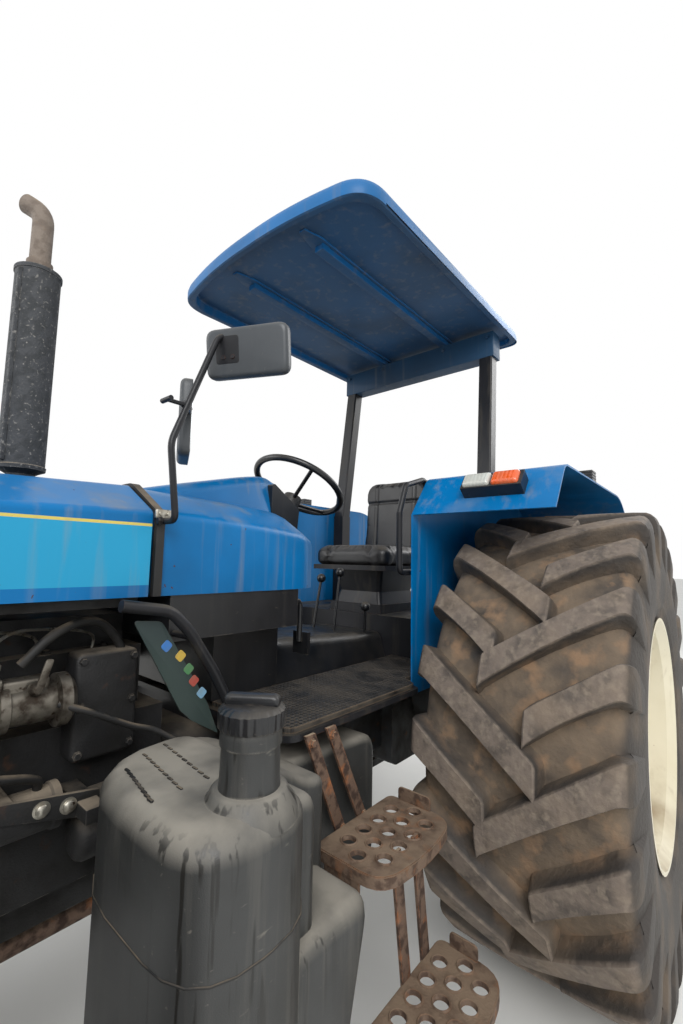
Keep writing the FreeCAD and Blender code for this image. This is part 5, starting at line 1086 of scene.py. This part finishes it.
PUMP_X, PUMP_Z = 262.0, 1082.0
outlet_y = [-1850.0 + 34.0 * i for i in range(4)]
engine_parts = [
    # The pump's barrel with its flanges, its upright body, its cover and its side plate
    lathe([(-1890.0, 0.0), (-1890.0, 26.0), (-1880.0, 40.0), (-1864.0, 40.0), (-1860.0, 33.0), (-1742.0, 33.0),
           (-1738.0, 46.0), (-1722.0, 46.0), (-1718.0, 36.0), (-1690.0, 38.0), (-1640.0, 38.0), (-1636.0, 54.0),
           (-1616.0, 54.0), (-1604.0, 40.0), (-1600.0, 0.0)], [(PUMP_X, 0.0, PUMP_Z)], (0, 1, 0), 36),
    block(oblong(PUMP_X - 34.0, PUMP_X + 26.0, PUMP_Z + 10.0, PUMP_Z + 62.0, 8.0), "y", -1872.0, -1734.0, (4.0, 4.0)),
    block(oblong(PUMP_X - 24.0, PUMP_X + 18.0, PUMP_Z + 20.0, PUMP_Z + 54.0, 8.0), "y", -1734.0, -1650.0, (4.0, 8.0)),
    block(oblong(-1856.0, -1756.0, PUMP_Z - 34.0, PUMP_Z + 6.0, 10.0), "x", PUMP_X + 20.0, PUMP_X + 42.0, (2.0, 4.0)),
    block(oblong(190.0, 262.0, 1046.0, 1116.0, 8.0), "y", -1716.0, -1690.0, (2.0, 2.0)),
    lathe([(0.0, 0.0), (0.0, 11.0), (16.0, 11.0), (17.0, 8.0), (38.0, 8.0), (40.0, 0.0)],
          [(PUMP_X, y, PUMP_Z + 58.0) for y in outlet_y], (0, 0, 1), 12),
    # The lever arm and its pivot on the governor
    lathe([(0.0, 0.0), (0.0, 14.0), (10.0, 14.0), (22.0, 8.0), (24.0, 0.0)], [(PUMP_X + 24.0, -1680.0, PUMP_Z + 36.0)],
          (1, 0, 0), 16),
    block([(-1688.0, PUMP_Z + 30.0, 6.0), (-1672.0, PUMP_Z + 30.0, 6.0), (-1655.0, PUMP_Z + 92.0, 5.0),
           (-1669.0, PUMP_Z + 94.0, 5.0)], "x", PUMP_X + 40.0, PUMP_X + 45.0, (1.0, 1.0)),
    bolts([(PUMP_X + 42.0, y, z) for y in (-1846.0, -1766.0) for z in (PUMP_Z - 24.0, PUMP_Z - 4.0)], (1, 0, 0), 5.0),
    bolts([(PUMP_X + 40.0 * math.cos(a), -1616.0, PUMP_Z + 40.0 * math.sin(a)) for a in (0.3, 1.4, 2.4, -0.7)],
          (0, 1, 0), 7.0),
]
brass_parts = [swept(smooth_line([(PUMP_X, outlet_y[i], 1176.0), (PUMP_X - 4.0, outlet_y[i], 1206.0),
                                  (200.0, -1860.0 + 60.0 * i, 1222.0), (126.0, -1880.0 + 120.0 * i, 1190.0),
                                  (120.0, -1880.0 + 120.0 * i, 1120.0)], 24), circle(3.6, 8)) for i in range(4)]
dark_parts = [
    block(oblong(-1592.0, -1451.0, 930.0, 1165.0, 20.0), "x", 186.0, 250.0, (2.0, 10.0)),
    lathe([(-1728.0, 0.0), (-1728.0, 36.0), (-1720.0, 42.0), (-1630.0, 42.0), (-1626.0, 46.0), (-1612.0, 46.0),
           (-1612.0, 0.0)], [(250.0, 0.0, 865.0)], (0, 1, 0), 32),
    lathe([(-1580.0, 0.0), (-1580.0, 30.0), (-1572.0, 44.0), (-1560.0, 50.0), (-1440.0, 50.0), (-1436.0, 54.0),
           (-1380.0, 54.0), (-1380.0, 0.0)], [(252.0, 0.0, 780.0)], (0, 1, 0), 32),
    lathe([(-1560.0, 0.0), (-1560.0, 24.0), (-1450.0, 24.0), (-1450.0, 0.0)], [(252.0, 0.0, 850.0)], (0, 1, 0), 20),
    # The bar along the engine's side that the tank's bracket hangs from
    block([(-1752.0, 888.0, 4.0), (-1752.0, 922.0, 4.0), (-1545.0, 886.0, 4.0), (-1545.0, 832.0, 4.0)], "x",
          290.0, 300.0, (2.0, 2.0)),
    block(oblong(-1745.0, -1700.0, 890.0, 912.0, 3.0), "x", 188.0, 292.0, (1.0, 1.0)),
    block(oblong(-1590.0, -1550.0, 845.0, 875.0, 3.0), "x", 188.0, 350.0, (1.0, 1.0)),
    # The air cleaner under the hood, and a dark guard plate on the engine's far side that is partly painted shade: it
    # closes off the view through the bay with a dark sheet.
    lathe([(-1940.0, 0.0), (-1940.0, 80.0), (-1930.0, 88.0), (-1700.0, 88.0), (-1698.0, 92.0), (-1680.0, 92.0),
           (-1678.0, 88.0), (-1530.0, 88.0), (-1520.0, 78.0), (-1520.0, 0.0)], [(50.0, 0.0, 1382.0)], (0, 1, 0), 40),
    block(oblong(-2330.0, -1180.0, 1030.0, 1290.0, 20.0), "x", -262.0, -256.0, (1.0, 1.0)),
    block(oblong(-2330.0, -1485.0, 1268.0, 1288.0, 2.0), "x", 268.0, 292.0, (1.0, 1.0)),
]
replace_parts(piece("injection_pump", engine_parts, "chassis", ALUMINIUM), "engine_fittings")
piece("engine_covers", dark_parts + [
    bolts([(250.0, y, z) for y in (-1578.0, -1465.0) for z in (948.0, 1048.0, 1148.0)], (1, 0, 0), 8.0),
    bolts([(y_x, -1740.0 + 130.0 * i, 1150.0) for i in range(4) for y_x in (-110.0, 110.0)], (0, 0, 1), 9.0),
    bolts([(150.0, -1985.0 + 61.0 * i, 650.0) for i in range(11)], (0, 0, -1), 7.0),
], "chassis", CAST_DARK)
piece("injection_pipes", brass_parts, "chassis", ZINC)
dome = [(0.0, 0.0), (0.0, 16.0), (2.0, 16.0), (2.5, 12.0), (7.0, 11.0), (10.0, 7.0), (11.0, 0.0)]
piece("bracket_bolts", [lathe(dome, [(300.0, -1655.0, 884.0), (300.0, -1606.0, 874.0)], (1, 0, 0), 24),
                        lathe([(0.0, 10.5), (0.0, 14.0), (10.0, 14.0), (10.0, 10.5)],
                              [(PUMP_X, y, 1158.0) for y in outlet_y], (0, 0, 1), 16)],
      "chassis", ZINC)
hose_parts = [
    swept(smooth_line([(255.0, -1700.0, 1160.0), (262.0, -1640.0, 1220.0), (240.0, -1560.0, 1235.0),
                       (225.0, -1500.0, 1190.0), (222.0, -1470.0, 1120.0)], 28), circle(10.0, 14)),
    swept(smooth_line([(240.0, -1900.0, 1010.0), (285.0, -1840.0, 985.0), (282.0, -1740.0, 960.0),
                       (262.0, -1660.0, 930.0), (252.0, -1650.0, 905.0)], 28), circle(9.0, 14)),
    swept(smooth_line([(300.0, -1640.0, 1082.0), (322.0, -1590.0, 1060.0), (320.0, -1500.0, 1010.0),
                       (330.0, -1440.0, 985.0), (360.0, -1380.0, 940.0)], 28), circle(7.0, 12)),
]
piece("engine_hoses", hose_parts, "chassis", RUBBER)


# Wheel nuts, lamps' glasses and small fittings

nut_parts = []
for name, side in (("left", 1.0), ("right", -1.0)):
    angle = np.linspace(0.0, 2.0 * math.pi, 8, endpoint=False)
    for kind, x, y, z, ring, size in (("rear", 704.0, 0.0, 790.0, 130.0, 15.0), ("front", 774.0, -2440.0, 632.0, 80.0, 12.0)):
        places = np.stack([np.full(8, side * x), y + ring * np.sin(angle), z + ring * np.cos(angle)], axis=1)
        piece(kind + "_nuts_" + name, [bolts(places, (side, 0.0, 0.0), size)], kind + "_wheel_" + name,
              RUSTY)


LAMP_AT = (785.0, -550.0, 1625.0)
LAMP_LEAN = -38.66
lamp_x, lamp_y, lamp_z = LAMP_AT
lens_rows = [("clear", CLEAR, -94.0, -3.0), ("orange", ORANGE, 3.0, 90.0)]
for name, finish, start, end in lens_rows:
    lens = turned(block(oblong(lamp_x + start, lamp_x + end, lamp_z - 27.0, lamp_z + 27.0, 10.0), "y",
                        lamp_y - 60.0, lamp_y - 44.0, (12.0, 1.0), 6), [("X", LAMP_LEAN)], LAMP_AT)
    piece(name + "_lenses", [lens, mirrored(lens)], "chassis", finish, 40.0)
tail_parts = [block(oblong(833.0, 927.0, 178.0, 252.0, 8.0), "z", z, z + 7.0, (2.0, 2.0))
              for z in np.linspace(1708.0, 1785.0, 7)]
piece("tail_lamp_ribs", tail_parts + [mirrored(part) for part in tail_parts], "chassis", PLASTIC)
tail_lens = block(oblong(842.0, 918.0, 1708.0, 1788.0, 8.0), "y", 249.0, 262.0, (1.0, 8.0), 5)
piece("tail_lenses", [tail_lens, mirrored(tail_lens)], "chassis", RED, 40.0)
latch = [block(oblong(-1480.0, -1440.0, 1474.0, 1496.0, 5.0), "x", 336.0, 346.0, (3.0, 3.0)),
         bolts([(346.0, -1470.0, 1485.0), (346.0, -1450.0, 1485.0)], (1, 0, 0), 5.0)]
piece("hood_latches", latch + [mirrored(part) for part in latch], "chassis", ZINC)


# Floor, light and background

floor_mesh = bpy.data.meshes.new("floor")
floor_mesh.from_pydata([(-60, -60, 0), (60, -60, 0), (60, 60, 0), (-60, 60, 0)], [], [(0, 1, 2, 3)])
floor = bpy.data.objects.new("floor", floor_mesh)
bpy.context.scene.collection.objects.link(floor)
floor_finish, tree, shader, place = new_material("pale studio floor")
coat(tree, shader, "e9e9e6", 0.8, [(cloud(tree, place, 900.0, 0.4, 0.7), "e4e4e0", 0.85)])
floor_mesh.materials.append(floor_finish)

AMBIENT = 0.75
world = bpy.data.worlds.new("studio")
bpy.context.scene.world = world
world.use_nodes = True
tree = world.node_tree
path = node(tree, "LightPath")
seen = node(tree, "Math", {0: path.outputs["Is Camera Ray"], 1: path.outputs["Is Glossy Ray"]}, operation="MAXIMUM")
seen = node(tree, "Math", {0: seen.outputs[0], 1: path.outputs["Is Transmission Ray"]}, operation="MAXIMUM")
strength = node(tree, "Mix", {0: seen.outputs[0], 2: AMBIENT, 3: 1.0})
background = tree.nodes["Background"]
background.inputs["Color"].default_value = (1.0, 1.0, 1.0, 1.0)
tree.links.new(strength.outputs[0], background.inputs["Strength"])

# Columns: name, place, size in metres, watts
LAMPS = [("key", (4.5, -4.5, 5.5), 4.0, 420.0), ("fill", (-4.0, -5.0, 3.5), 4.0, 140.0), ("rim", (2.0, 6.0, 5.0), 4.0, 200.0)]
for name, spot, size, watts in LAMPS:
    light = bpy.data.lights.new(name, "AREA")
    light.size = size
    light.energy = watts
    lamp = bpy.data.objects.new(name, light)
    lamp.matrix_world = (Matrix.Translation(spot)
                         @ (Vector((0.2, 0.2, 1.0)) - Vector(spot)).to_track_quat("-Z", "Y").to_matrix().to_4x4())
    bpy.context.scene.collection.objects.link(lamp)
bpy.context.scene.view_settings.view_transform = "Standard"
